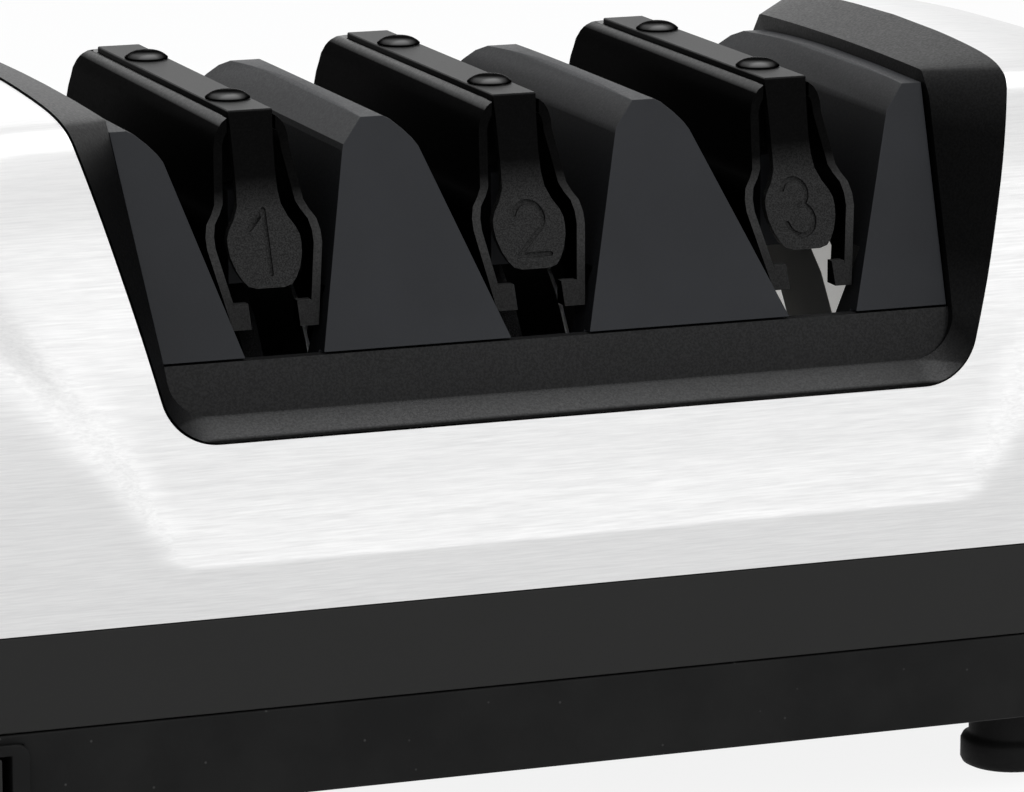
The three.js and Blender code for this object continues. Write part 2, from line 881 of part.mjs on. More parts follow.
function guideInsert() {
  const deep = halfDepth + overrun;
  let body = alongY(guideComb(), -deep, deep);
  body = body.intersect(alongX(guideSide(), -halfLength, halfLength));
  for (const stage of stages) body = body.subtract(discWindow(stage)).add(bridgeRail(stage));
  const tunnel = barOnX(rimRadius + tunnelClearance, -halfLength, halfLength, 36);
  body = body.subtract(tunnel.translate(0, 0, shaftHeight));
  for (const stage of stages) {
    const bottom = bridgeTop - bridgeScrewLength - fitGap;
    for (const hole of screwHoles(stage, bridgeScrewRadius + fitGap, bottom, crownHeight)) {
      body = body.subtract(hole);
    }
  }
  return body;
}

// Shares of a spring's widening below its waist, and of the drop from its waist to its belly
const waistShares = [
  [0, 0],
  [0.32, 0.29],
  [0.8, 0.61],
  [1, 1],
  [1, 1.4],
];

// Half outline of a blade spring, seen from the front, at a distance inside its outer face
function springHalf(stage, top, inset) {
  const shoulder = springShoulderHalfWidth - inset;
  const bellyLimit = wallAt(stage, 1, springBellyHeight) - stage.middle - runningGap;
  const belly = Math.min(springBellyHalfWidth, bellyLimit);
  const foot = wallAt(stage, 1, springFootHeight) - stage.middle - runningGap;
  const points = [];
  const width = springShoulderWidth - inset;
  const height = springShoulderHeight - inset;
  const steps = 5;
  for (let i = 0; i <= steps; i++) {
    const angle = ((1 - i / steps) * Math.PI) / 2;
    points.push([shoulder - width * (1 - Math.cos(angle)), top - height * (1 - Math.sin(angle))]);
  }
  for (const [widening, drop] of waistShares) {
    const half = THREE.MathUtils.lerp(springWaistHalfWidth, belly, widening);
    points.push([half - inset, THREE.MathUtils.lerp(springWaistHeight, springBellyHeight, drop)]);
  }
  points.push([foot - inset, springFootHeight]);
  return points;
}

// Shares of the reach and drop of a spring's rounded rear end
const springRearShares = [
  [0.32, 0],
  [0.5, 0.06],
  [0.66, 0.21],
  [0.82, 0.52],
  [1, 1],
];

// Side outline that trims a spring's ends: straight by the bridge plate, then leaning out to the foot
function springSide() {
  const frontDepth = bridgeHalfLength + springFrontProud;
  const rear = springRearShares.map(([along, down]) => [
    bridgeHalfLength + along * springRearReach,
    springLipTop - down * springRearDrop,
  ]);
  return [
    [-springFootDepth, springFootHeight - overrun],
    [-springFootDepth, springFootHeight],
    [-frontDepth, springLipTop - springShoulderHeight],
    [-frontDepth, crownHeight],
    [rear[0][0], crownHeight],
    ...rear,
    [springFootDepth, springFootHeight],
    [springFootDepth, springFootHeight - overrun],
  ].reverse();
}

function bladeSpring(stage) {
  const outer = springHalf(stage, springLipTop, 0);
  const inner = springHalf(stage, springSeat - springWall, springWall);
  const mirrored = (points) => points.map(([x, z]) => [-x, z]).reverse();
  const ring = [...outer, ...inner.reverse(), ...mirrored(inner), ...mirrored(outer)];
  const placed = ring.map(([x, z]) => [x + stage.middle, z]);
  let body = alongY(placed.reverse(), -halfDepth, halfDepth);
  body = body.intersect(alongX(springSide(), -halfLength, halfLength));
  const lugTop = springFootHeight + springLugHeight;
  const foot = wallAt(stage, 1, springFootHeight) - stage.middle - runningGap;
  for (const side of [-1, 1]) {
    for (const end of [-1, 1]) {
      const xs = [side * springLugHalfGap, side * (foot - springWall / 2)].map((x) => x + stage.middle);
      const ys = [end * (springFootDepth - springLugLength), end * springFootDepth];
      xs.sort((a, b) => a - b);
      ys.sort((a, b) => a - b);
      const lug = box(...xs, ...ys, springFootHeight, lugTop);
      body = body.add(lug.intersect(alongX(springSide(), -halfLength, halfLength)));
    }
  }
  for (const hole of screwHoles(stage, plateBossRadius + fitGap, springWaistHeight, crownHeight)) {
    body = body.subtract(hole);
  }
  const channelHalf = bridgeWidth / 2 + seatGap;
  const channelEnd = bridgeHalfLength + seatGap;
  const channel = box(-channelHalf, channelHalf, -halfDepth, channelEnd, springSeat, crownHeight);
  const notchHalf = bridgeWidth / 2 + fitGap;
  const notchDepth = bridgeHalfLength - tabThickness - fitGap;
  const notch = box(-notchHalf, notchHalf, -halfDepth, -notchDepth, springWaistHeight, crownHeight);
  return body.subtract(channel.add(notch).translate(stage.middle, 0, 0));
}

// Depth of the tab's front face at a height: it leans out more below its neck
function tabDepth(height) {
  const neck = Math.min(bridgeTop - height, bridgeTop - tabNeckHeight) * Math.tan(tabNeckLean);
  const pad = Math.max(0, tabNeckHeight - height) * Math.tan(tabPadLean);
  return bridgeHalfLength + neck + pad;
}

// Half widths of the tab at heights from its top to its end, as shares between neck and pad and of the drop
const tabShares = [
  [0.12, 0],
  [0.04, 0.12],
  [0, 0.34],
  [0.02, 0.46],
  [0.1, 0.54],
  [0.42, 0.615],
  [0.79, 0.67],
  [0.97, 0.715],
  [1, 0.76],
  [0.94, 0.82],
  [0.7, 0.895],
  [0.4, 0.95],
  [0.1, 0.985],
  [-0.4, 1],
];

function tab(stage) {
  const top = bridgeTop - bridgeBevel;
  const rings = tabShares.map(([widening, drop]) => {
    const half = THREE.MathUtils.lerp(tabNeckWidth, tabPadWidth, widening) / 2;
    const height = THREE.MathUtils.lerp(top, tabEndHeight, drop);
    const front = -tabDepth(height);
    return [
      [-half, front],
      [half, front],
      [half, front + tabThickness],
      [-half, front + tabThickness],
    ].map(([x, y]) => new THREE.Vector3(x + stage.middle, y, height));
  });
  return loftCapped(rings);
}

function bridgePlate(stage) {
  const half = bridgeWidth / 2;
  const bevel = bridgeBevel;
  const bottom = bridgeTop - bridgeThickness;
  const section = [
    [-half, bottom],
    [half, bottom],
    [half, bridgeTop - bevel],
    [half - bevel, bridgeTop],
    [-half + bevel, bridgeTop],
    [-half, bridgeTop - bevel],
  ].map(([x, z]) => [x + stage.middle, z]);
  let body = alongY(section, -bridgeHalfLength, bridgeHalfLength);
  body = body.add(tab(stage));
  const bossTop = bridgeTop - bridgeThickness / 3;
  for (const boss of screwHoles(stage, plateBossRadius, railTop + seatGap, bossTop)) {
    body = body.add(boss);
  }
  for (const hole of screwHoles(stage, bridgeScrewRadius + fitGap, railTop, crownHeight)) {
    body = body.subtract(hole);
  }
  return body;
}

// Outline of a domed head over its seat, as shares of its radius and height
const domeShares = [
  [1, 0],
  [1, 0.14],
  [0.86, 0.42],
  [0.6, 0.75],
  [0.3, 0.94],
  [0, 1],
];

// A screw with a domed head, its head's seat at height zero
function domedScrew(headRadius, headHeight, radius, length, sides) {
  const profile = [
    [0, -length],
    [radius, -length],
    [radius, 0],
    ...domeShares.map(([across, up]) => [headRadius * across, headHeight * up]),
  ];
  return turnedOnZ(profile, sides);
}

function bridgeScrew() {
  const [headRadius, headHeight] = [bridgeScrewHeadRadius, bridgeScrewHeadHeight];
  const screw = domedScrew(headRadius, headHeight, bridgeScrewRadius, bridgeScrewLength, 10);
  return screw.translate(0, 0, bridgeTop + seatGap);
}

// Place of a drive pin along the shaft: it stops the hub of its disc
function pinPlace(stage, side) {
  return stage.middle + side * (discHubEnd + fitGap - pinRadius);
}

function driveShaft() {
  let body = barOnX(shaftRadius, shaftLeftEnd, shaftRightEnd, 16).translate(0, 0, shaftHeight);
  for (const stage of stages) {
    for (const side of [-1, 1]) {
      const hole = barOnZ(pinRadius + seatGap, shaftHeight - overrun, shaftHeight + overrun, 8);
      body = body.subtract(hole.translate(pinPlace(stage, side), 0, 0));
    }
  }
  return body;
}

function drivePin(stage, side) {
  const half = pinLength / 2;
  return barOnZ(pinRadius, shaftHeight - half, shaftHeight + half, 8).translate(pinPlace(stage, side), 0, 0);
}

// A disc as a spool: a working flange by the middle of the stage, a rim, and a hub that its drive pin turns
function sharpeningDisc(stage, side) {
  const bore = shaftRadius + runningGap;
  const rimEnd = stage.rimStart + stage.rim;
  const profile = [
    [bore, workingInner + counterboreDepth],
    [counterboreRadius, workingInner + counterboreDepth],
    [counterboreRadius, workingInner],
    [workingRadius, workingInner],
    [workingRadius, workingOuter],
    [discHubRadius, workingOuter + workingDish],
    [discHubRadius, stage.rimStart - workingDish],
    [rimRadius, stage.rimStart],
    [rimRadius, rimEnd],
    [discHubRadius, rimEnd],
    [discHubRadius, discHubEnd],
    [bore, discHubEnd],
  ];
  const notch = 2 * pinRadius;
  const half = pinRadius + fitGap;
  let body = turnedOnX(profile, 24);
  body = body.subtract(box(discHubEnd - notch, discHubEnd + overrun, -half, half, -rimRadius, rimRadius));
  if (side < 0) body = body.mirror([1, 0, 0]);
  return body.translate(stage.middle, 0, shaftHeight);
}

// A compression spring round the shaft, as one unbroken wire between two places
function coilSpring(fromX, toX, turns) {
  const stepsPerTurn = 8;
  const sides = 5;
  const start = fromX + coilWireRadius;
  const run = toX - fromX - 2 * coilWireRadius;
  const rings = [];
  const count = Math.round(turns * stepsPerTurn);
  for (let i = 0; i <= count; i++) {
    const angle = (i / stepsPerTurn) * 2 * Math.PI;
    const radial = new THREE.Vector3(0, Math.cos(angle), Math.sin(angle));
    const centre = radial.clone().multiplyScalar(coilMeanRadius);
    centre.x = start + (run * i) / count;
    const ring = [];
    for (let j = 0; j < sides; j++) {
      const turn = (j / sides) * 2 * Math.PI;
      const point = centre.clone().addScaledVector(radial, coilWireRadius * Math.cos(turn));
      point.x += coilWireRadius * Math.sin(turn);
      ring.push(point);
    }
    rings.push(ring);
  }
  return loftCapped(rings).translate(0, 0, shaftHeight);
}

// A skin through rings with a fan of triangles over each end
function loftCapped(rings) {
  const width = rings[0].length;
  const places = rings.flatMap((ring) => ring.flatMap((p) => [p.x, p.y, p.z]));
  const triangles = [];
  for (let i = 0; i < rings.length - 1; i++) {
    for (let j = 0; j < width; j++) {
      const side = (j + 1) % width;
      const [a, b, c, d] = [i * width + j, (i + 1) * width + j, (i + 1) * width + side, i * width + side];
      triangles.push(a, b, c, a, c, d);
    }
  }
  const end = (rings.length - 1) * width;
  for (let j = 1; j < width - 1; j++) {
    triangles.push(0, j, j + 1);
    triangles.push(end, end + j + 1, end + j);
  }
  const geometry = new THREE.BufferGeometry();
  geometry.setAttribute("position", new THREE.Float32BufferAttribute(places, 3));
  geometry.setIndex(triangles);
  return solid(geometry);
}

// A ring round the shaft's axis
function shaftRing(radius, bore, fromX, toX, sides) {
  const profile = [
    [bore, fromX],
    [radius, fromX],
    [radius, toX],
    [bore, toX],
  ];
  return turnedOnX(profile, sides).translate(0, 0, shaftHeight);
}

function motorStator() {
  const fromX = motorMiddle - stackLength / 2;
  const toX = motorMiddle + stackLength / 2;
  const yoke = statorTop - statorYokeHeight;
  const windowHalf = statorHalfWidth - statorLegWidth;
  return box(fromX, toX, -statorHalfWidth, statorHalfWidth, statorBottom, statorTop)
    .subtract(barOnX(rotorRadius + airGap, fromX - overrun, toX + overrun, 28).translate(0, 0, shaftHeight))
    .subtract(box(fromX - overrun, toX + overrun, -windowHalf, windowHalf, yoke - coilWindowHeight, yoke));
}

function motorCoil() {
  const yoke = statorTop - statorYokeHeight;
  const halfX = stackLength / 2 + fitGap;
  const halfY = statorHalfWidth - statorLegWidth - 2 * runningGap;
  const outerX = halfX + coilThickness;
  const core = box(-halfX, halfX, -halfDepth, halfDepth, yoke - fitGap, statorTop + fitGap);
  const winding = box(-outerX, outerX, -halfY, halfY, yoke - coilThickness, statorTop + coilThickness);
  return winding.subtract(core).translate(motorMiddle, 0, 0);
}

function coolingFan(fromX) {
  const bore = shaftRadius + fitGap;
  let body = shaftRing(fanHubRadius, bore, fromX, fromX + fanWidth, 16);
  body = body.add(shaftRing(fanRadius, bore, fromX + fanWidth - fanBackPlate, fromX + fanWidth, 28));
  for (let i = 0; i < fanBlades; i++) {
    const half = fanBladeThickness / 2;
    const blade = box(fromX, fromX + fanWidth, -half, half, (bore + fanHubRadius) / 2, fanRadius - half);
    body = body.add(blade.rotate([(i / fanBlades) * 360, 0, 0]).translate(0, 0, shaftHeight));
  }
  return body;
}

// A bent plate that stands on the floor of the tray and holds a bearing
function bearingBracket(fromX, footSide) {
  const toX = fromX + bracketThickness;
  const bottom = baseUnderside + trayFloor + seatGap;
  const footFrom = footSide > 0 ? fromX : fromX - bracketFootLength;
  const footTo = footSide > 0 ? toX + bracketFootLength : toX;
  const hole = barOnX(bearingRadius + fitGap, fromX - overrun, toX + overrun, 20);
  return box(fromX, toX, -bracketHalfWidth, bracketHalfWidth, bottom, bracketTop)
    .add(box(footFrom, footTo, -bracketHalfWidth, bracketHalfWidth, bottom, bottom + bracketThickness))
    .subtract(hole.translate(0, 0, shaftHeight));
}

function bearing(middle) {
  const from = middle - bearingLength / 2;
  return shaftRing(bearingRadius, shaftRadius + fitGap, from, from + bearingLength, 14);
}

function basePlan(inset) {
  return roundedRectangle(halfLength - inset, halfDepth - inset, planCornerRadius - inset, 7);
}

function baseBand() {
  const bottom = seamHeight + seatGap;
  const top = coverFootHeight - seatGap;
  const leverSlotTop = leverHeight + leverHubHeight / 2;
  const leverSlotBottom = leverHeight - leverHubHeight / 2;
  return upwards(basePlan(0), bottom, top)
    .subtract(upwards(basePlan(bandWall), bottom - overrun, top + overrun))
    .subtract(
      box(
        thirdStage - leverSlotHalfWidth,
        thirdStage + leverSlotHalfWidth,
        halfDepth - 2 * bandWall,
        halfDepth + overrun,
        leverSlotBottom,
        leverSlotTop,
      ),
    )
    .subtract(
      barOnY(glandNeckRadius + fitGap, halfDepth - 2 * bandWall, halfDepth + overrun, 20).translate(
        glandX,
        0,
        glandHeight,
      ),
    );
}

// The four places at equal distances from the body's middle
function fourPlaces(halfX, halfY) {
  return [-1, 1].flatMap((sideX) => [-1, 1].map((sideY) => [sideX * halfX, sideY * halfY]));
}

const feetPlaces = fourPlaces(footSpacingHalfX, footSpacingHalfY);
const screwPlaces = fourPlaces(baseScrewHalfX, baseScrewHalfY);

function baseTray() {
  const floorTop = baseUnderside + trayFloor;
  let body = upwards(basePlan(0), baseUnderside, seamHeight);
  body = body.subtract(upwards(basePlan(trayWall), floorTop, seamHeight + overrun));
  const pivotShoulder = leverHeight - leverHubHeight / 2 + fitGap;
  const pivot = (radius, top) =>
    barOnZ(radius, baseUnderside + trayFloor / 2, top, 14).translate(thirdStage, leverPivotDepth, 0);
  body = body.add(pivot(leverHubRadius, pivotShoulder - fitGap));
  body = body.add(pivot(leverPinRadius, leverHeight + leverHubHeight / 2 + fitGap));
  for (const [x, y] of screwPlaces) {
    const boss = barOnZ(bossRadius, baseUnderside + trayFloor / 2, baseUnderside + bossHeight, 14);
    const hole = barOnZ(baseScrewRadius + fitGap, baseUnderside - overrun, seamHeight + overrun, 10);
    const seat = barOnZ(
      baseScrewHeadRadius + fitGap,
      baseUnderside - overrun,
      baseUnderside + baseScrewHeadHeight + fitGap,
      14,
    );
    body = body.add(boss.translate(x, y, 0));
    body = body.subtract(hole.translate(x, y, 0)).subtract(seat.translate(x, y, 0));
  }
  const door = roundedRectangle(cleanOutLength / 2, cleanOutDepth / 2, cleanOutCorner, 3);
  body = body.subtract(upwards(door, baseUnderside - overrun, floorTop + overrun));
  const holeX = switchFlangeLength / 2 - switchRim / 2;
  const holeZ = switchFlangeHeight / 2 - switchRim / 4;
  const holeEnd = -halfDepth + switchBodyDepth + fitGap;
  const hole = box(-holeX, holeX, -halfDepth - overrun, holeEnd, -holeZ, holeZ);
  return body.subtract(hole.translate(switchMiddleX, 0, switchHeight));
}

function rubberFoot() {
  const profile = [
    [0, 0],
    [footPadRadius - footPadBevel, 0],
    [footPadRadius, footPadBevel],
    [footPadRadius, footPadHeight - footPadBevel],
    [footNeckRadius, footPadHeight],
    [footNeckRadius, baseUnderside - seatGap],
    [0, baseUnderside - seatGap],
  ];
  return turnedOnZ(profile, 18);
}

// Half sizes of the well that the rocker tips in
const rockerWellX = switchFlangeLength / 2 - rockerEndGap;
const rockerWellZ = switchFlangeHeight / 2 - switchRim;

function switchHousing() {
  const bodyX = switchFlangeLength / 2 - switchRim / 2 - fitGap;
  const bodyZ = switchFlangeHeight / 2 - switchRim / 4 - fitGap;
  const back = -halfDepth - seatGap;
  const face = -halfDepth - fittingProud;
  const flange = roundedRectangle(switchFlangeLength / 2, switchFlangeHeight / 2, switchFlangeCorner, 4);
  const inner = -halfDepth + switchBodyDepth;
  return alongY(flange, face, back)
    .add(box(-bodyX, bodyX, (face + back) / 2, inner, -bodyZ, bodyZ))
    .subtract(
      box(
        -rockerWellX,
        rockerWellX,
        -halfDepth - overrun,
        inner - switchRim,
        -rockerWellZ,
        rockerWellZ,
      ),
    )
    .translate(switchMiddleX, 0, switchHeight);
}

// Outline of the rocker's back, as shares of its half length and depth
const rockerBackShares = [
  [0.86, 0.6],
  [0.3, 1],
  [-0.3, 1],
  [-0.86, 0.6],
];

// The rocker, tipped to its off side: two faces that meet in a shallow valley
function switchRocker() {
  const halfX = rockerLength / 2;
  const halfZ = rockerWellZ - fitGap;
  const valley = halfX * Math.tan(rockerAngle);
  const pivotToFace = halfDepth + fittingProud - rockerPivotDepth - 2 * valley;
  const face = [
    [-halfX, -pivotToFace - valley],
    [0, -pivotToFace],
    [halfX, -pivotToFace - valley],
    ...rockerBackShares.map(([across, deep]) => [halfX * across, -pivotToFace + rockerDepth * deep]),
  ];
  return upwards(face, -halfZ, halfZ)
    .rotate([0, 0, THREE.MathUtils.radToDeg(-rockerAngle)])
    .translate(switchMiddleX, -rockerPivotDepth, switchHeight);
}

function cordGland() {
  const profile = [
    [glandBoreRadius, halfDepth - glandNeckLength],
    [glandNeckRadius, halfDepth - glandNeckLength],
    [glandNeckRadius, halfDepth + seatGap],
    [glandFlangeRadius, halfDepth + seatGap],
    [glandFlangeRadius - fittingProud / 2, halfDepth + fittingProud],
    [glandBoreRadius, halfDepth + fittingProud],
  ];
  return turnedOnY(profile, 22).translate(glandX, 0, glandHeight);
}

// The lever: a hub on a post, a paddle through the rear wall and an arm up to the pad behind the discs
function dressingLever() {
  const bottom = leverHeight - leverHubHeight / 2 + fitGap;
  const top = leverHeight + leverHubHeight / 2 - fitGap;
  const armFace = rimRadius + padStandOff + padThickness + fitGap;
  const half = leverPaddleWidth / 2;
  const padTop = shaftHeight + padHeight / 2;
  const hole = barOnZ(leverPinRadius + fitGap, bottom - overrun, top + overrun, 14);
  return barOnZ(leverHubRadius, bottom, top, 18)
    .translate(0, leverPivotDepth, 0)
    .add(box(-half, half, leverPivotDepth, halfDepth + fittingProud, bottom, top))
    .add(box(-half, half, armFace, leverPivotDepth, bottom, top))
    .add(box(-half, half, armFace, armFace + armThickness, bottom, padTop))
    .subtract(hole.translate(0, leverPivotDepth, 0))
    .translate(thirdStage, 0, 0);
}

// The dressing pad: a bar behind the third stage's discs with a prong in the groove of each
function dressingPad() {
  const face = rimRadius + padStandOff;
  const bottom = shaftHeight - padHeight / 2;
  const groove = (workingOuter + polymerRimStart) / 2;
  const half = prongWidth / 2;
  const reach = groove + half;
  let body = box(-reach, reach, face, face + padThickness, bottom, bottom + padHeight);
  for (const middle of [-groove, groove]) {
    const prongEnd = face + padThickness / 2;
    const prong = box(-half, half, rimRadius - padReach, prongEnd, bottom, bottom + padHeight);
    body = body.add(prong.translate(middle, 0, 0));
  }
  return body.translate(thirdStage, 0, 0);
}

function cleanOutCover() {
  const halfX = cleanOutLength / 2 - fitGap;
  const halfY = cleanOutDepth / 2 - fitGap;
  const plate = roundedRectangle(halfX, halfY, cleanOutCorner - fitGap, 3);
  return upwards(plate, baseUnderside, baseUnderside + trayFloor);
}

function coverMagnet() {
  const bottom = baseUnderside + trayFloor + seatGap;
  const [halfX, halfY] = [magnetLength / 2, magnetDepth / 2];
  return box(-halfX, halfX, -halfY, halfY, bottom, bottom + magnetHeight);
}

const sharpener = new THREE.Group();

function add(name, body, look) {
  const mesh = new THREE.Mesh(geometryOf(body), new THREE.MeshStandardMaterial(look));
  mesh.name = name;
  sharpener.add(mesh);
}

add("metal_cover", metalCover(), finish.cover);
add("cradle_frame", cradleFrame(), finish.frame);
add("guide_insert", guideInsert(), finish.guide);
add("base_band", baseBand(), finish.band);
add("base_tray", baseTray(), finish.tray);

const footNames = ["foot_front_left", "foot_rear_left", "foot_front_right", "foot_rear_right"];
feetPlaces.forEach(([x, y], i) => add(footNames[i], rubberFoot().translate(x, y, 0), finish.rubber));

screwPlaces.forEach(([x, y], i) => {
  const screw = domedScrew(baseScrewHeadRadius, baseScrewHeadHeight, baseScrewRadius, baseScrewLength, 8)
    .rotate([180, 0, 0])
    .translate(x, y, baseUnderside + baseScrewHeadHeight);
  add("base_screw_" + (i + 1), screw, finish.steel);
});

stages.forEach((stage, i) => {
  const number = i + 1;
  add("blade_spring_" + number, bladeSpring(stage), finish.spring);
  add("bridge_plate_" + number, bridgePlate(stage), finish.bridge);
  for (const [end, depth] of [
    ["front", -frontScrewDepth],
    ["rear", rearScrewDepth],
  ]) {
    const name = "bridge_screw_" + end + "_" + number;
    add(name, bridgeScrew().translate(stage.middle, depth, 0), finish.blackScrew);
  }
  add("disc_left_" + number, sharpeningDisc(stage, -1), stage.face);
  add("disc_right_" + number, sharpeningDisc(stage, 1), stage.face);
  add("drive_pin_left_" + number, drivePin(stage, -1), finish.steel);
  add("drive_pin_right_" + number, drivePin(stage, 1), finish.steel);
  const coilHalf = workingInner + counterboreDepth - fitGap;
  const coil = coilSpring(stage.middle - coilHalf, stage.middle + coilHalf, coilTurns);
  add("disc_spring_" + number, coil, finish.steel);
});

add("drive_shaft", driveShaft(), finish.steel);

const stackLeft = motorMiddle - stackLength / 2;
const stackRight = motorMiddle + stackLength / 2;
const rotorFrom = motorMiddle - rotorLength / 2;
add("motor_stator", motorStator(), finish.steel);
add("motor_coil", motorCoil(), finish.copper);
add(
  "motor_rotor",
  shaftRing(rotorRadius, shaftRadius + fitGap, rotorFrom, rotorFrom + rotorLength, 28),
  finish.steel,
);
add("bearing_bracket_left", bearingBracket(stackLeft - fitGap - bracketThickness, -1), finish.steel);
add("bearing_bracket_middle", bearingBracket(stackRight + fitGap, 1), finish.steel);
add("bearing_bracket_right", bearingBracket(farBearing - bracketThickness / 2, 1), finish.steel);
const leftBearing = stackLeft - fitGap - bracketThickness / 2;
const middleBearing = stackRight + fitGap + bracketThickness / 2;
add("bearing_left", bearing(leftBearing), finish.bronze);
add("bearing_middle", bearing(middleBearing), finish.bronze);
add("bearing_right", bearing(farBearing), finish.bronze);
add("cooling_fan", coolingFan(leftBearing - bearingLength / 2 - 2 * fitGap - fanWidth), finish.fan);

add("switch_housing", switchHousing(), finish.tray);
add("switch_rocker", switchRocker(), finish.band);
add("cord_gland", cordGland(), finish.rubber);
add("dressing_lever", dressingLever(), finish.frame);
add("dressing_pad", dressingPad(), finish.magnet);
add("clean_out_cover", cleanOutCover(), finish.tray);
add("cover_magnet", coverMagnet(), finish.magnet);

export default sharpener;
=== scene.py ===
import math

import bmesh
import bpy
from mathutils import Matrix, Vector


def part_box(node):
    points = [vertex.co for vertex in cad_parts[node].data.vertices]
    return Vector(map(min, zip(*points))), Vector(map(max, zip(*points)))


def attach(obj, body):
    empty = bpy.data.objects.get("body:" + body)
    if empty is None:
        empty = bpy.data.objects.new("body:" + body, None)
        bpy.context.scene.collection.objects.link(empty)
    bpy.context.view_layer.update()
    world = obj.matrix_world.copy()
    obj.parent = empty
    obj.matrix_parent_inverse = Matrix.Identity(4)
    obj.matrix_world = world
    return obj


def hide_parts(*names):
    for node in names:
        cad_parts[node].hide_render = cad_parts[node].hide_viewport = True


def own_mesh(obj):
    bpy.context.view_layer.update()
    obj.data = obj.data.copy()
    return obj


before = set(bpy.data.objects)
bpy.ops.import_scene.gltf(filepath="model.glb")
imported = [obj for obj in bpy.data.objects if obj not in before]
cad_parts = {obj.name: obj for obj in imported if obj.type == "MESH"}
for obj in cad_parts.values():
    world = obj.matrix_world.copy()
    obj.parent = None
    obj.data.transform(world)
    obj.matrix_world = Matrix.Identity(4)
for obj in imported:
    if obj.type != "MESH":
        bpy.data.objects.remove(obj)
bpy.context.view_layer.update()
scene = bpy.context.scene

# The studio: a long lens at the front left, a pale floor that runs into a white room, and soft
# boxes over the top, at the front, at the left and behind, whose broad reflections shape the metal.
CAMERA_PLACE = Vector((-0.28737, -0.78214, 0.23494))
CAMERA_TURN = math.radians(-20.79)
CAMERA_DIP = math.radians(12.29)
CAMERA_LENS = 199.48
FILM_WIDTH = 36
NEAREST_SEEN = 0.01
LAMP_AIM = Vector((0, 0, 0.05))
ROOM_REACH = 6.0
ROOM_TINT = (0.97, 0.985, 1, 1)
ROOM_STRENGTH = 0.72
WHITE = (1, 1, 1, 1)
PAPER_COLOUR = (0.86, 0.86, 0.86, 1)
FLOOR_WHITE_SHARE = 0.88

eye = bpy.data.cameras.new("camera")
eye.sensor_width = FILM_WIDTH
eye.lens = CAMERA_LENS
eye.clip_start = NEAREST_SEEN
eye.clip_end = 4 * ROOM_REACH
camera = bpy.data.objects.new("camera", eye)
camera.location = CAMERA_PLACE
camera.rotation_euler = (math.pi / 2 - CAMERA_DIP, 0, CAMERA_TURN)
scene.collection.objects.link(camera)
scene.camera = camera
scene.view_settings.view_transform = "Standard"


def soft_box(name, place, width, height, power):
    """A rectangular lamp that points at the middle of the object."""
    lamp = bpy.data.lights.new(name, "AREA")
    lamp.shape = "RECTANGLE"
    lamp.size = width
    lamp.size_y = height
    lamp.energy = power
    holder = bpy.data.objects.new(name, lamp)
    holder.location = place
    holder.rotation_euler = (LAMP_AIM - Vector(place)).to_track_quat("-Z", "Y").to_euler()
    scene.collection.objects.link(holder)


soft_box("box_over", (0.05, -0.12, 0.95), width=1.2, height=0.95, power=5.2)
soft_box("box_front", (0.35, -1.1, 0.3), width=1.5, height=0.6, power=1.35)
soft_box("box_left", (-1.0, -0.25, 0.6), width=0.5, height=0.7, power=0.5)
soft_box("box_back", (-0.15, 1.3, 0.75), width=1.9, height=0.8, power=2.4)


def with_inputs(node, values):
    """The node, with its named inputs set."""
    for name, value in values.items():
        node.inputs[name.replace("_", " ")].default_value = value
    return node


def shader_node(tree, kind, **values):
    """A new node of a material or of the world."""
    return with_inputs(tree.nodes.new(kind), values)


def feed(tree, place, source):
    """Links a socket to an input, or sets the input to a plain value."""
    if isinstance(source, bpy.types.NodeSocket):
        tree.links.new(source, place)
    else:
        place.default_value = source


def combined(tree, kind, first, second):
    """Two values added, multiplied and so on."""
    made = tree.nodes.new("ShaderNodeMath")
    made.operation = kind
    feed(tree, made.inputs[0], first)
    feed(tree, made.inputs[1], second)
    return made.outputs[0]


def blended(tree, share, first, second):
    """A shader that turns from the first into the second with the share."""
    made = tree.nodes.new("ShaderNodeMixShader")
    for place, source in zip(made.inputs, (share, first, second)):
        tree.links.new(source, place)
    return made.outputs[0]


world = bpy.data.worlds.new("white_room")
scene.world = world
world.use_nodes = True
room = world.node_tree
room.nodes.clear()
rays = room.nodes.new("ShaderNodeLightPath").outputs
through = combined(room, "MAXIMUM", rays["Is Camera Ray"], rays["Is Transmission Ray"])
seen = combined(room, "MAXIMUM", through, rays["Is Glossy Ray"])
lit = shader_node(room, "ShaderNodeBackground", Color=ROOM_TINT, Strength=ROOM_STRENGTH)
shown = shader_node(room, "ShaderNodeBackground", Color=WHITE, Strength=1.0)
output = room.nodes.new("ShaderNodeOutputWorld")
room.links.new(blended(room, seen, lit.outputs[0], shown.outputs[0]), output.inputs["Surface"])


def new_material(name, **values):
    """A principled material: the material, its node tree and its shader, with named inputs set."""
    made = bpy.data.materials.new(name)
    made.use_nodes = True
    return made, made.node_tree, with_inputs(made.node_tree.nodes["Principled BSDF"], values)


def as_object(name, work):
    """The mesh being worked on as an object at the origin."""
    mesh = bpy.data.meshes.new(name)
    work.to_mesh(mesh)
    work.free()
    made = bpy.data.objects.new(name, mesh)
    scene.collection.objects.link(made)
    return made


paper, tree, shader = new_material(
    "floor_paper", Base_Color=PAPER_COLOUR, Roughness=0.9, Specular_IOR_Level=0.1
)
bare = shader_node(tree, "ShaderNodeEmission", Color=WHITE, Strength=1.0)
rays = tree.nodes.new("ShaderNodeLightPath").outputs
seen = combined(tree, "MAXIMUM", rays["Is Camera Ray"], rays["Is Glossy Ray"])
white_share = combined(tree, "MULTIPLY", seen, FLOOR_WHITE_SHARE)
surface = blended(tree, white_share, shader.outputs[0], bare.outputs[0])
tree.links.new(surface, tree.nodes["Material Output"].inputs["Surface"])

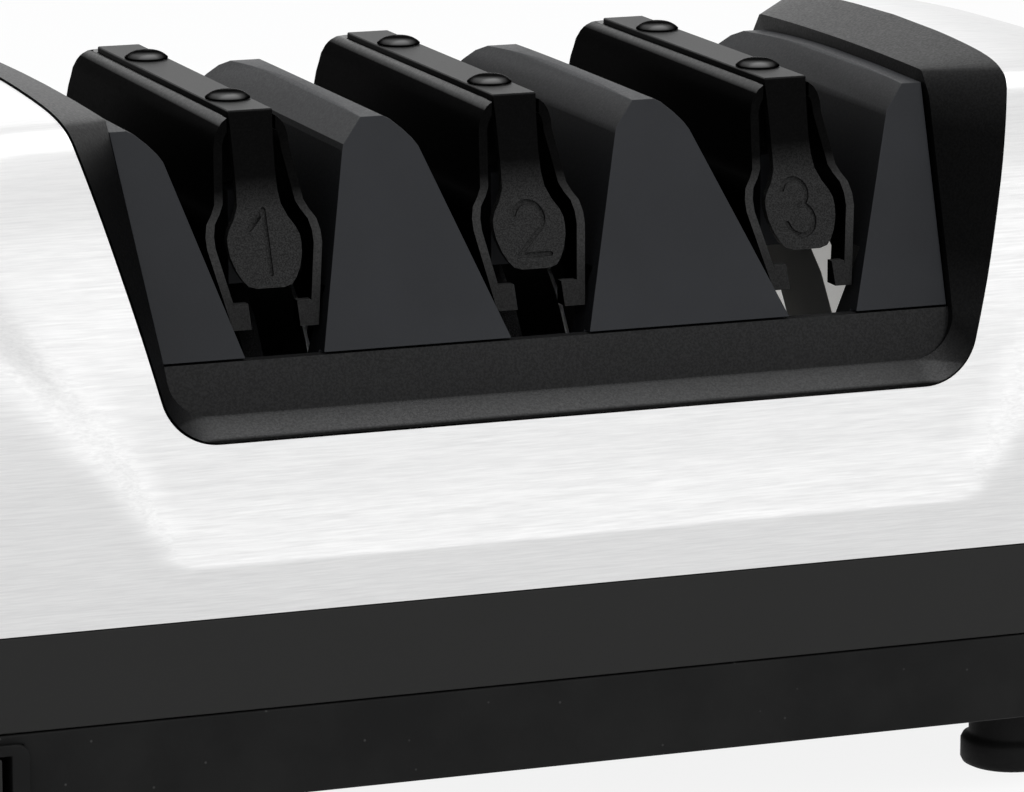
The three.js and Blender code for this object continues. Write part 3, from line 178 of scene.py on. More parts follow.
sheet = bmesh.new()
bmesh.ops.create_grid(sheet, x_segments=1, y_segments=1, size=ROOM_REACH)
floor = as_object("floor", sheet)
floor.data.materials.append(paper)

# The cover: one deep-drawn sheet of stainless steel over the whole body, brushed along its length,
# with rounded ends, a shallow scoop round its opening and a crease where the scoop ends.
MM = 0.001
LENGTH = 254 * MM
DEPTH = 110 * MM
HALF_LENGTH = LENGTH / 2
HALF_DEPTH = DEPTH / 2
PLAN_CORNER = 25 * MM
COVER_FOOT = 37.3 * MM
CROWN = 107.2 * MM
COVER_RISE = CROWN - COVER_FOOT
COVER_WALL = 1.6 * MM
SHOULDER_START = 72 * MM
SHOULDER_POWER = 2.5
END_SHARE = 0.2
CREASE_START = 60 * MM
CREASE_SLOPE = 1.19
CREASE_HEIGHT = 44.2 * MM
CREASE_WIDTH = 1.2 * MM
CREASE_END_WIDTH = 7.5 * MM
CREASE_GROWTH = 9 * MM
PANEL_SHARES = [
    (1, 0),
    (1, 0.05),
    (1, 0.088),
    (1, 0.098),
    (0.9978, 0.110),
    (0.992, 0.14),
    (0.9825, 0.19),
    (0.974, 0.24),
    (0.961, 0.339),
    (0.942, 0.484),
    (0.916, 0.601),
    (0.862, 0.756),
    (0.818, 0.848),
    (0.782, 0.908),
    (0.756, 0.942),
    (0.718, 0.962),
    (0.645, 0.977),
    (0.525, 0.987),
    (0.327, 0.995),
    (0.155, 0.998),
    (0, 1),
]
BULGE_SHARES = [0, 0, 0, 0, 0.0021, 0.0077, 0.0165, 0.0245]
BULGE_SHARES += [0.036, 0.046, 0.05, 0.045, 0.032, 0.018, 0.008] + [0] * 6
PANEL_STEPS = 3
OPENING_BOTTOM = 61.7 * MM
OPENING_HALF = 59.9 * MM
OPENING_LEAN = math.radians(14.7)
OPENING_CORNER = 8.5 * MM
FIT_GAP = 0.3 * MM
CUTTER_REACH = 10 * MM
CORNER_STEPS = 16
SCOOP_SHARE = 0.44
SCOOP_STEPS = 14
ROUND_SHARE = 0.7
ROUND_STEPS = 26
ROUND_LAST_STEP = 23
BRUSH_DARK = (0.645, 0.645, 0.647)
BRUSH_LIGHT = (0.735, 0.735, 0.735)
FINE_LINES = (150, 3300, 3600)
COARSE_LINES = (45, 1100, 1300)
FINE_SHARE = 0.72
LINE_WANDER = 0.4 * MM


def eased(points, steps):
    """A Catmull-Rom curve through the points, with that many steps from each to the next."""
    curve = []
    for i in range(len(points) - 1):
        before = points[max(0, i - 1)]
        after = points[min(len(points) - 1, i + 2)]
        for k in range(steps):
            t = k / steps
            curve.append(
                tuple(
                    b + 0.5 * t * (c - a + t * (2 * a - 5 * b + 4 * c - d + t * (3 * (b - c) + d - a)))
                    for a, b, c, d in zip(before, points[i], points[i + 1], after)
                )
            )
    return curve + [tuple(points[-1])]


panel = eased([(d, r, b) for (d, r), b in zip(PANEL_SHARES, BULGE_SHARES)], PANEL_STEPS)


def smooth_share(value):
    """Nought to one, with a soft start and end."""
    value = min(1, max(0, value))
    return value * value * (3 - 2 * value)


def bulge_at(x, height):
    """0 in the scoop round the opening, 1 outside its crease."""
    past = max(0, abs(x) - CREASE_START)
    crease = CREASE_HEIGHT + past * CREASE_SLOPE
    slant = math.cos(math.atan(CREASE_SLOPE)) if past > 0 else 1
    grown = min(1, past / CREASE_GROWTH)
    width = CREASE_WIDTH + (CREASE_END_WIDTH - CREASE_WIDTH) * grown
    return 1 - smooth_share((height - crease) * slant / width)


def plan_share(x):
    """Share of the half depth that the rounded plan keeps at a place along the length."""
    past = abs(x) - (HALF_LENGTH - PLAN_CORNER)
    if past <= 0:
        return 1
    inset = PLAN_CORNER - math.sqrt(max(0, PLAN_CORNER**2 - past**2))
    return 1 - inset / HALF_DEPTH


def shoulder_share(x):
    """Share of the rise that the crown keeps at a place along the length."""
    past = (abs(x) - SHOULDER_START) / (HALF_LENGTH - SHOULDER_START)
    if past <= 0:
        return 1
    return max(END_SHARE, max(0, 1 - min(1, past) ** SHOULDER_POWER) ** (1 / SHOULDER_POWER))


def cover_ring(x, inset, foot):
    """One upright section of the cover, from its front foot over the crown to its rear foot."""
    place = x * (HALF_LENGTH - inset) / HALF_LENGTH
    front = []
    for depth, rise, bulge in panel:
        height = COVER_FOOT + rise * COVER_RISE
        full = (depth + bulge * bulge_at(x, height)) * HALF_DEPTH
        y = full * plan_share(x) * (1 - inset / HALF_DEPTH)
        z = COVER_FOOT + rise * COVER_RISE * shoulder_share(x) * (1 - inset / COVER_RISE)
        front.append(Vector((place, -y, z)))
    front[0].z = foot
    return front + [Vector((p.x, -p.y, p.z)) for p in reversed(front[:-1])]


def add_loop(work, points):
    """A closed loop of edges through the points."""
    corners = [work.verts.new(p) for p in points]
    return [work.edges.new((a, b)) for a, b in zip(corners, corners[1:] + corners[:1])]


def bridged(name, rings, closed=False):
    """A skin bridged from ring to ring, closed on itself or with a face over each end."""
    work = bmesh.new()
    loops = [add_loop(work, ring) for ring in rings]
    pairs = list(zip(loops, loops[1:] + loops[:1])) if closed else list(zip(loops, loops[1:]))
    for first, second in pairs:
        bmesh.ops.bridge_loops(work, edges=first + second)
    if not closed:
        bmesh.ops.contextual_create(work, geom=loops[0])
        bmesh.ops.contextual_create(work, geom=loops[-1])
    bmesh.ops.recalc_face_normals(work, faces=work.faces)
    return as_object(name, work)


def apply_modifiers(target):
    """Keeps what the modifiers make and takes them off."""
    shaped = target.evaluated_get(bpy.context.evaluated_depsgraph_get())
    mesh = bpy.data.meshes.new_from_object(shaped)
    target.modifiers.clear()
    target.data = mesh


def cut_by(target, cutter, operation="DIFFERENCE"):
    """Cuts the target by the cutter, or joins them, and takes the cutter away."""
    change = target.modifiers.new("cut", "BOOLEAN")
    change.operation = operation
    change.solver = "EXACT"
    change.object = cutter
    bpy.context.view_layer.update()
    apply_modifiers(target)
    bpy.data.objects.remove(cutter)


def extruded(name, outline, way):
    """An outline of (x, y, z) points, drawn out along the way."""
    work = bmesh.new()
    face = work.faces.new([work.verts.new(point) for point in outline])
    moved = bmesh.ops.extrude_face_region(work, geom=[face])["geom"]
    verts = [v for v in moved if isinstance(v, bmesh.types.BMVert)]
    bmesh.ops.translate(work, vec=way, verts=verts)
    bmesh.ops.recalc_face_normals(work, faces=work.faces)
    return as_object(name, work)


def prism(name, outline, start, end):
    """An outline of (x, z) points, extruded along Y."""
    return extruded(name, [(x, start, z) for x, z in outline], (0, end - start, 0))


def opening_half(height):
    """Half length of the cover's opening at a height."""
    return OPENING_HALF + (height - OPENING_BOTTOM) * math.tan(OPENING_LEAN)


def gap_half(height):
    """Half length of the cut in the cover, a gap wider than the frame that fills it."""
    return opening_half(height) + FIT_GAP


def leaning_corner(bottom, half_at, lean, radius):
    """Points (x, z) of the corner between a level bottom and a side that leans outwards."""
    middle_z = bottom + radius
    middle_x = half_at(middle_z) - radius / math.cos(lean)
    points = []
    for i in range(CORNER_STEPS + 1):
        angle = -math.pi / 2 + i / CORNER_STEPS * (math.pi / 2 - lean)
        points.append((middle_x + radius * math.cos(angle), middle_z + radius * math.sin(angle)))
    return points


def smooth_faces(target, angle):
    """Smooth shading, with edges sharper than the angle kept crisp."""
    target.data.shade_smooth()
    target.data.set_sharp_from_angle(angle=math.radians(angle))


def round_edges(target, width, segments=2, angle=30):
    """Softens the piece's crisp edges as a mould or a file would."""
    soft = target.modifiers.new("soft_edges", "BEVEL")
    soft.width = width
    soft.segments = segments
    soft.limit_method = "ANGLE"
    soft.angle_limit = math.radians(angle)
    soft.harden_normals = True
    soft.use_clamp_overlap = True


def finished(piece, nodes, body, material, edge=0.0, segments=2, angle=30):
    """Shading, edges, material and the piece's place in the frame, all at once."""
    smooth_faces(piece, angle)
    if edge:
        round_edges(piece, edge, segments, angle)
    piece.data.materials.append(material)
    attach(piece, body)
    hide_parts(*nodes)
    return piece


# The sections crowd towards the rounded end. The last few before it are left out, because the
# crown has come down to the end's own height there.
scoop_span = ROUND_SHARE - SCOOP_SHARE
right_stops = [SCOOP_SHARE + scoop_span * k / SCOOP_STEPS for k in range(SCOOP_STEPS)]
for step in range(ROUND_LAST_STEP + 1):
    right_stops.append(ROUND_SHARE + (1 - ROUND_SHARE) * math.sin(math.pi / 2 * step / ROUND_STEPS))
right_stops.append(1)
stops = [-s * HALF_LENGTH for s in reversed(right_stops)] + [s * HALF_LENGTH for s in right_stops]
metal_cover = bridged("metal_cover_look", [cover_ring(x, 0, COVER_FOOT) for x in stops])
inside_foot = COVER_FOOT - CUTTER_REACH
cut_by(metal_cover, bridged("inside", [cover_ring(x, COVER_WALL, inside_foot) for x in stops]))

cut_bottom = OPENING_BOTTOM - FIT_GAP
cut_top = CROWN + CUTTER_REACH
cut_reach = HALF_DEPTH + CUTTER_REACH
half_outline = leaning_corner(cut_bottom, gap_half, OPENING_LEAN, OPENING_CORNER)
half_outline.append((gap_half(cut_top), cut_top))
whole_outline = half_outline + [(-x, z) for x, z in reversed(half_outline)]
cut_by(metal_cover, prism("opening", whole_outline, -cut_reach, cut_reach))


def object_place(tree):
    """The place of a point of the piece, in metres."""
    return tree.nodes.new("ShaderNodeTexCoord").outputs["Object"]


def vectors(tree, kind, *sources):
    """The outputs of a vector sum, product or length of sockets and plain vectors."""
    made = tree.nodes.new("ShaderNodeVectorMath")
    made.operation = kind
    for place, source in zip(made.inputs, sources):
        feed(tree, place, source)
    return made.outputs


def noise(tree, source, scale, detail, roughness=0.5):
    """An even noise at the place that the source gives."""
    made = shader_node(tree, "ShaderNodeTexNoise", Scale=scale, Detail=detail, Roughness=roughness)
    tree.links.new(source, made.inputs["Vector"])
    return made.outputs


def lined(tree, source, scale, detail, roughness=0.5):
    """A noise drawn out into lines by the scale of its three axes."""
    stretched = shader_node(tree, "ShaderNodeMapping", Scale=scale)
    tree.links.new(source, stretched.inputs["Vector"])
    return noise(tree, stretched.outputs["Vector"], 1.0, detail, roughness)["Fac"]


def as_colour(value):
    """A colour with its alpha, from a colour or from a plain grey."""
    return (*value, 1) if isinstance(value, tuple) else (value, value, value, 1)


def ramp(tree, source, low, high, start, end):
    """A colour or grey that goes from low to high between two levels of the source."""
    made = tree.nodes.new("ShaderNodeValToRGB")
    marks = made.color_ramp.elements
    marks[0].position = start
    marks[1].position = end
    marks[0].color = as_colour(low)
    marks[1].color = as_colour(high)
    tree.links.new(source, made.inputs["Fac"])
    return made.outputs["Color"]


def relief(tree, source, strength, depth):
    """Lets the source raise the surface in its shading, by up to the depth."""
    made = shader_node(tree, "ShaderNodeBump", Distance=depth)
    feed(tree, made.inputs["Strength"], strength)
    tree.links.new(source, made.inputs["Height"])
    tree.links.new(made.outputs["Normal"], tree.nodes["Principled BSDF"].inputs["Normal"])


brushed, tree, shader = new_material("brushed_cover", Metallic=1.0)
stretched = shader_node(tree, "ShaderNodeMapping", Scale=(1, 1.6, 1.6))
tree.links.new(object_place(tree), stretched.inputs["Vector"])
wander = noise(tree, stretched.outputs["Vector"], scale=38.0, detail=2.0)["Color"]
sway = (0, LINE_WANDER, LINE_WANDER)
wave = vectors(tree, "MULTIPLY_ADD", wander, sway, object_place(tree))["Vector"]
fine = lined(tree, wave, FINE_LINES, detail=4.0, roughness=0.65)
coarse = lined(tree, wave, COARSE_LINES, detail=3.0, roughness=0.6)
fine_part = combined(tree, "MULTIPLY", fine, FINE_SHARE)
coarse_part = combined(tree, "MULTIPLY", coarse, 1 - FINE_SHARE)
lines = combined(tree, "ADD", fine_part, coarse_part)
line_colour = ramp(tree, lines, BRUSH_DARK, BRUSH_LIGHT, start=0.36, end=0.62)
tree.links.new(line_colour, shader.inputs["Base Color"])
tree.links.new(ramp(tree, lines, 0.36, 0.28, start=0.35, end=0.65), shader.inputs["Roughness"])
relief(tree, lines, strength=0.12, depth=0.02 * MM)
finished(metal_cover, ["metal_cover"], "housing", brushed, angle=28)

# The cradle frame: a moulded black rim that lines the opening of the cover. Its bevelled face
# falls inwards to the guides, and a sill crosses under the slots at the front and at the back.
SEAM_HEIGHT = 23.5 * MM
FRAME_BEVEL_RISE = 2.8 * MM
FRAME_INNER_HALF = 59.3 * MM
FRAME_INNER_LEAN = math.radians(5.3)
FRAME_INNER_CORNER = 6.5 * MM
FRAME_DEEP = 3 * MM
FRAME_PROUD = 0.3 * MM
FRAME_STAND_OFF = 1.4 * MM
FRAME_CREST_RISE = 1.7 * MM
FRAME_LEAST_STEP = 0.5 * MM
FRAME_EDGE = 0.35 * MM
BEVEL_TOP = OPENING_BOTTOM + FRAME_BEVEL_RISE
SILL_TOP = 71.6 * MM
SILL_DEPTH = 46.5 * MM
SILL_FOOT_DEPTH = 48.3 * MM
SILL_WALL = 2 * MM
GUIDE_LEAN = math.radians(27.2)
CREST = 102.7 * MM
CREST_END = 102.2 * MM
CREST_SLOPE = 1.2
TURN_SHARES = (0.782, 0.908)
TURN_POINT = PANEL_SHARES.index(TURN_SHARES) * PANEL_STEPS
SAME_PLACE = 0.002 * MM
FLAT_ANGLE = math.radians(0.6)
# Painted light and shade by height over the frame: painted shade in the seam at the cover's edge, a
# painted highlight along the bevel, painted shade growing up the walls of the slots and a painted sheen
# at the crest.
FRAME_LIGHT_AND_SHADE = [
    (OPENING_BOTTOM - 2 * MM, 0.45),
    (OPENING_BOTTOM - 0.6 * MM, 0.08),
    (OPENING_BOTTOM + 0.25 * MM, 0.08),
    (OPENING_BOTTOM + 0.55 * MM, 0.95),
    (BEVEL_TOP - 0.2 * MM, 0.85),
    (BEVEL_TOP + 0.1 * MM, 0.42),
    (SILL_TOP, 0.5),
    (SILL_TOP + 8 * MM, 0.22),
    (CREST_END - 6 * MM, 0.16),
    (CREST_END + 1 * MM, 0.4),
]
outline_up = [(d * HALF_DEPTH, COVER_FOOT + r * COVER_RISE) for d, r, b in panel]


def panel_depth(height):
    """Depth of the cover's surface over the opening at a height."""
    for (d0, z0), (d1, z1) in zip(outline_up, outline_up[1:]):
        if height <= z1:
            return d0 + (height - z0) / (z1 - z0) * (d1 - d0)
    return 0


def guide_depth(height):
    """Depth of the guides' leaning front faces at a height."""
    return SILL_DEPTH - (height - SILL_TOP) * math.tan(GUIDE_LEAN)


def crest_at(depth):
    """Height of the guides' arched crest at a depth."""
    return CREST - (CREST - CREST_END) * (depth / guide_depth(CREST_END)) ** 2


def frame_inner_half(height):
    """Half length inside the frame at a height."""
    return FRAME_INNER_HALF + (height - OPENING_BOTTOM - FRAME_BEVEL_RISE) * math.tan(FRAME_INNER_LEAN)


def frame_inner_depth(height):
    """Depth of the frame's inner edge at a height."""
    return min(SILL_FOOT_DEPTH, guide_depth(height) + FRAME_STAND_OFF)


def on_panel(x, z):
    """A point of the frame's outer edge, on the cover's surface."""
    return Vector((x, -panel_depth(z), z))


def on_inner(x, z):
    """A point of the frame's inner edge, just before the guides."""
    return Vector((x, -frame_inner_depth(z), z))


def frame_edges():
    """Outer and inner edge of the frame, from the middle of its bottom up one side to the crown."""
    outer_corner = leaning_corner(OPENING_BOTTOM, opening_half, OPENING_LEAN, OPENING_CORNER)
    inner_corner = leaning_corner(BEVEL_TOP, frame_inner_half, FRAME_INNER_LEAN, FRAME_INNER_CORNER)
    edges = [(on_panel(0, OPENING_BOTTOM), on_inner(0, BEVEL_TOP))]
    edges += [(on_panel(*a), on_inner(*b)) for a, b in zip(outer_corner, inner_corner)]
    outer_from = outer_corner[-1][1]
    inner_from = inner_corner[-1][1]
    turn_depth, outer_to = outline_up[TURN_POINT]
    inner_to = CREST_END - FRAME_CREST_RISE
    for _, height in outline_up[: TURN_POINT + 1]:
        if height > outer_from + FRAME_LEAST_STEP:
            climbed = (height - outer_from) / (outer_to - outer_from)
            inner = inner_from + climbed * (inner_to - inner_from)
            outer_edge = on_panel(opening_half(height), height)
            edges.append((outer_edge, on_inner(frame_inner_half(inner), inner)))
    inner_start = frame_inner_depth(inner_to)
    for depth, height in outline_up[TURN_POINT + 1 :]:
        inner_y = inner_start * depth / turn_depth
        slope_z = inner_to + (inner_start - inner_y) * CREST_SLOPE
        inner_z = min(crest_at(inner_y) + FRAME_CREST_RISE, slope_z)
        outer_edge = Vector((opening_half(height), -depth, height))
        edges.append((outer_edge, Vector((frame_inner_half(inner_to), -inner_y, inner_z))))
    return edges


def frame_section(outer, inner):
    """The frame's section at one place: proud outer edge, inner edge, and both set in."""
    inwards = Vector((0, -outer.y, SEAM_HEIGHT + COVER_RISE / 2 - outer.z)).normalized()

    def moved(point, distance, lean):
        """The point moved inwards, kept on a side that leans."""
        shift = inwards * distance
        if point.x > 0:
            shift.x = shift.z * math.tan(lean)
        return point + shift

    return [
        moved(outer, -FRAME_PROUD, OPENING_LEAN),
        inner.copy(),
        moved(inner, FRAME_DEEP, FRAME_INNER_LEAN),
        moved(outer, FRAME_DEEP, OPENING_LEAN),
    ]


def flipped(ring, x=1, y=1):
    """The ring mirrored to the left, to the rear or both."""
    return [Vector((p.x * x, p.y * y, p.z)) for p in ring]


def bar_along_x(name, outline, start, end):
    """An outline of (y, z) points, extruded along X."""
    return extruded(name, [(start, y, z) for y, z in outline], (end - start, 0, 0))


def merged_faces(target):
    """Joins faces that lie in one plane, so that bevels run along real edges alone."""
    work = bmesh.new()
    work.from_mesh(target.data)
    bmesh.ops.remove_doubles(work, verts=work.verts, dist=SAME_PLACE)
    bmesh.ops.dissolve_limit(work, angle_limit=FLAT_ANGLE, verts=work.verts, edges=work.edges)
    work.to_mesh(target.data)
    work.free()


quarter = [frame_section(outer, inner) for outer, inner in frame_edges()]
sections = quarter + [flipped(r, y=-1) for r in reversed(quarter[:-1])]
sections += [flipped(r, x=-1, y=-1) for r in quarter[1:]]
sections += [flipped(r, x=-1) for r in reversed(quarter[1:-1])]
cradle = bridged("cradle_frame_look", sections, closed=True)
sill_bottom = OPENING_BOTTOM + FRAME_BEVEL_RISE / 2
sill_outline = [
    (-SILL_FOOT_DEPTH, BEVEL_TOP),
    (-SILL_DEPTH, SILL_TOP),
    (-SILL_DEPTH + SILL_WALL, SILL_TOP),
    (-SILL_DEPTH + SILL_WALL, sill_bottom),
    (-SILL_FOOT_DEPTH, sill_bottom),
]
sill_end = opening_half(OPENING_BOTTOM)
for side in (1, -1):
    bar = bar_along_x("sill", [(y * side, z) for y, z in sill_outline], -sill_end, sill_end)
    cut_by(cradle, bar, "UNION")
merged_faces(cradle)


def moulded(name, colour, roughness, grain, depth, sheen=0.5, lighter=1.35, **values):
    """Moulded plastic: a fine grain in the surface and a faint unevenness in its colour and gloss."""
    made, tree, shader = new_material(name, Specular_IOR_Level=sheen, **values)
    spots = noise(tree, object_place(tree), scale=1 / grain, detail=2.0)["Fac"]
    patches = noise(tree, object_place(tree), scale=55.0, detail=3.0)["Fac"]
    bright = tuple(c * lighter for c in colour)
    patch_colour = ramp(tree, patches, colour, bright, start=0.3, end=0.75)
    tree.links.new(patch_colour, shader.inputs["Base Color"])
    gloss = ramp(tree, spots, roughness + 0.06, roughness - 0.04, start=0.35, end=0.7)
    tree.links.new(gloss, shader.inputs["Roughness"])
    relief(tree, spots, strength=0.5, depth=depth)
    return made


def component(tree, source, axis):
    """One component of a vector."""
    made = tree.nodes.new("ShaderNodeSeparateXYZ")
    tree.links.new(source, made.inputs["Vector"])
    return made.outputs[axis]


def between_limits(tree, source, start, end):
    """Nought where the source is at the start or before it, one at the end or past it."""
    made = shader_node(tree, "ShaderNodeMapRange", From_Min=start, From_Max=end)
    tree.links.new(source, made.inputs["Value"])
    return made.outputs["Result"]


def by_level(tree, tones):
    """A tone that changes with the height over the floor, from a list of (height, tone)."""
    low, high = tones[0][0], tones[-1][0]
    made = tree.nodes.new("ShaderNodeValToRGB")
    marks = made.color_ramp.elements
    marks[0].color = as_colour(tones[0][1])
    marks[1].color = as_colour(tones[-1][1])
    for height, tone in tones[1:-1]:
        marks.new((height - low) / (high - low)).color = as_colour(tone)
    level = between_limits(tree, component(tree, object_place(tree), "Z"), low, high)
    tree.links.new(level, made.inputs["Fac"])
    return made.outputs["Color"]


def toned(made, kept):
    """Scales a material's colour and gloss by a value that changes over its surface."""
    tree = made.node_tree
    shader = tree.nodes["Principled BSDF"]
    gloss = shader.inputs["Specular IOR Level"]
    before = gloss.links[0].from_socket if gloss.is_linked else gloss.default_value
    tree.links.new(combined(tree, "MULTIPLY", kept, before), gloss)
    tint = tree.nodes.new("ShaderNodeVectorMath")
    tint.operation = "SCALE"
    tree.links.new(shader.inputs["Base Color"].links[0].from_socket, tint.inputs[0])
    tree.links.new(kept, tint.inputs["Scale"])
    tree.links.new(tint.outputs["Vector"], shader.inputs["Base Color"])


def facing(tree, axis, start, end):
    """How far a face looks along an axis, either way, from nought at the start to one at the end."""
    normal = tree.nodes.new("ShaderNodeTexCoord").outputs["Normal"]
    return between_limits(tree, combined(tree, "ABSOLUTE", component(tree, normal, axis), 0), start, end)


def mixed(tree, share, low, high, kind="FLOAT"):
    """A value, or a colour of the kind RGBA, that goes from low to high with the share."""
    made = tree.nodes.new("ShaderNodeMix")
    made.data_type = kind
    tree.links.new(share, made.inputs["Factor"])
    feed(tree, made.inputs["A"], low)
    feed(tree, made.inputs["B"], high)
    return made.outputs["Result"]


def painted_shade_on_sides(made, share, start, end):
    """Paints shade on the faces that look along X: takes gloss and colour from them, where less light
    falls.
    """
    tree = made.node_tree
    toned(made, mixed(tree, facing(tree, "X", start, end), 1.0, share))


def speckle(tree, size, dark):
    """A fine grain between dark and one."""
    grains = noise(tree, object_place(tree), scale=1 / size, detail=1.0)["Fac"]
    return ramp(tree, grains, dark, 1, start=0.38, end=0.62)


frame_black = moulded(
    "frame_black",
    (0.0078, 0.0080, 0.0086),
    roughness=0.42,
    grain=0.45 * MM,
    depth=0.02 * MM,
    sheen=0.44,
)
# Painted shade on the frame's faces that look along X, then the painted light and shade of the heights,
# laid over the frame's own fine grain.
painted_shade_on_sides(frame_black, share=0.4, start=0.35, end=0.9)
tree = frame_black.node_tree
frame_grain = speckle(tree, size=0.32 * MM, dark=0.74)
toned(frame_black, combined(tree, "MULTIPLY", by_level(tree, FRAME_LIGHT_AND_SHADE), frame_grain))
finished(cradle, ["cradle_frame"], "housing", frame_black, angle=24)
round_edges(cradle, FRAME_EDGE, segments=3, angle=25)

# The guide insert: one matt blue-grey moulding with the walls between the blade slots. It drops
# into the frame behind the sills, and its underside arches over the discs.


def copied(node):
    """A CAD node's mesh at its place, to be worked on."""
    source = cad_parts[node]
    work = bmesh.new()
    work.from_mesh(source.data)
    bmesh.ops.transform(work, matrix=source.matrix_world, verts=work.verts)
    return work


def dressed(node, body, material, edge=0.0, segments=2, angle=30):
    """A merged copy of a CAD node's mesh, with its flat faces joined and its edges softened."""
    piece = as_object(node + "_look", copied(node))
    merged_faces(piece)
    return finished(piece, [node], body, material, edge, segments, angle)


guide_grey = moulded(
    "guide_grey",
    (0.0120, 0.0128, 0.0148),
    roughness=0.5,
    grain=0.35 * MM,
    depth=0.015 * MM,
    sheen=0.17,
)
# Painted shade: the guide's walls that look along X are darkened in colour and gloss.
painted_shade_on_sides(guide_grey, share=0.2, start=0.6, end=0.93)
dressed("guide_insert", "housing", guide_grey, 0.3 * MM, segments=3, angle=20)

# The blade springs: inverted channels of springy black nylon that run the depth of the cradle.
# Their arms hold the blade against the guides, and small lugs at the feet keep them in place. Low
# down, the arms are cut away behind their front and rear bands, so that the discs show.
STAGE_MIDDLES = {1: -41.9 * MM, 2: -2.1 * MM, 3: 40.1 * MM}
ARM_REACH = 9.5 * MM
ARM_CUT_REAR = [(28.5 * MM, 85.2 * MM), (34.2 * MM, 83.6 * MM), (38.2 * MM, 73.5 * MM)]
# Painted shade by height on the springs' front bands, which turn near black above the waist.
ARM_PAINTED_SHADE = [
    (72 * MM, 0.3),
    (79 * MM, 0.36),
    (84 * MM, 0.6),
    (89.5 * MM, 0.62),
    (93.5 * MM, 0.06),
    (105 * MM, 0.05),
]
spring_black = moulded(
    "spring_black",
    (0.0105, 0.0105, 0.0105),
    roughness=0.38,
    grain=0.5 * MM,
    depth=0.01 * MM,
    sheen=0.56,
)
# Painted shade: the springs' sides are made almost black, and their front bands take the painted shade
# of the heights, laid over their own fine grain.
painted_shade_on_sides(spring_black, share=0.003, start=0.25, end=0.84)
tree = spring_black.node_tree
arm_grain = speckle(tree, size=0.22 * MM, dark=0.6)
arm_shade_and_grain = combined(tree, "MULTIPLY", by_level(tree, ARM_PAINTED_SHADE), arm_grain)
toned(spring_black, mixed(tree, facing(tree, "Y", start=0.7, end=0.85), 1.0, arm_shade_and_grain))
window = [(-y, z) for y, z in reversed(ARM_CUT_REAR)] + ARM_CUT_REAR
for number, middle in STAGE_MIDDLES.items():
    spring = dressed("blade_spring_%d" % number, "housing", spring_black)
    cut_by(spring, bar_along_x("window", window, middle - ARM_REACH, middle + ARM_REACH))
    smooth_faces(spring, 40)
    round_edges(spring, 0.2 * MM, angle=40)

# The bridge plates: narrow moulded strips screwed down over the springs. At the front each hangs
# down as a tab, smooth at its neck and grained on its pad, where its stage's number is sunk in.
BRIDGE_TOP = 104.4 * MM
TAB_FRONT = 31.6 * MM
TAB_FOLD = 94.4 * MM
NECK_LEAN = math.radians(13)
PAD_LEAN = math.radians(25)
PAD_END = TAB_FOLD - 4.2 * MM
NECK_START = TAB_FOLD + 0.8 * MM
NECK_END = BRIDGE_TOP - 0.3 * MM
TOP_START = BRIDGE_TOP - 0.05 * MM
PIT_SIZE = 0.3 * MM
GROOVE_HALF = 0.36 * MM
GROOVE_DEPTH = 0.38 * MM
GROOVE_REACH = 0.8 * MM
CAP_STEPS = 6
LEAST_MITRE = 0.5


def tab_depth(height):
    """Depth of a tab's front face at a height."""
    neck = min(BRIDGE_TOP - height, BRIDGE_TOP - TAB_FOLD) * math.tan(NECK_LEAN)
    return TAB_FRONT + neck + max(0, TAB_FOLD - height) * math.tan(PAD_LEAN)


def arc(middle, radius, start, end, steps=16):
    """Points of an arc, its angles in degrees, all in millimetres."""
    turns = [math.radians(start + (end - start) * k / steps) for k in range(steps + 1)]
    return [(middle[0] + radius * math.cos(t), middle[1] + radius * math.sin(t)) for t in turns]


def stroke_outline(path, half):
    """The outline of a stroke with round ends along a path of (across, height) points."""
    sides = []
    for way in (path, path[::-1]):
        run = [Vector(p) for p in way]
        steps = [(b - a).normalized() for a, b in zip(run, run[1:])]
        sides.append(run[0] + half * Vector((-steps[0].y, steps[0].x)))
        for i, along in enumerate(steps):
            mitre = (along + steps[min(i + 1, len(steps) - 1)]).normalized()
            stretch = half / max(LEAST_MITRE, mitre.dot(along))
            sides.append(run[i + 1] + stretch * Vector((-mitre.y, mitre.x)))
        tip = math.atan2(steps[-1].y, steps[-1].x)
        for k in range(1, CAP_STEPS):
            turn = tip + math.pi / 2 - math.pi * k / CAP_STEPS
            sides.append(run[-1] + half * Vector((math.cos(turn), math.sin(turn))))
    return [(p.x, p.y) for p in sides]


NUMERALS = {
    1: [[(-1.95, 88.2), (0.3, 90.4)], [(0.5, 90.7), (0.35, 82.2)]],
    2: [arc((0.05, 87.2), 2.2, 165, -38) + [(-2.1, 82.3)], [(-2.1, 82.3), (2.6, 82.3)]],
    3: [arc((-0.6, 88.15), 1.9, 165, -78), arc((-0.3, 84.5), 2.15, 76, -168, 20)],
}

bridge_grain, tree, shader = new_material("bridge_grain", Roughness=0.48)


def on_plate(pad, neck, top):
    """A value for the pad, the neck and the top of a bridge plate, blended along its height."""
    return by_level(tree, [(PAD_END, pad), (NECK_START, neck), (NECK_END, neck), (TOP_START, top)])


# Painted shade: the neck is darker than the pad and the top, in colour and gloss, though all are one
# plastic; the grain on the pad is the moulding's own.
tree.links.new(on_plate(0.0128, 0.0019, 0.02), shader.inputs["Base Color"])
tree.links.new(on_plate(0.17, 0.025, 0.13), shader.inputs["Specular IOR Level"])
pad_grain = speckle(tree, size=0.2 * MM, dark=0.5)
toned(bridge_grain, combined(tree, "MAXIMUM", pad_grain, on_plate(0, 0.7, 0.85)))
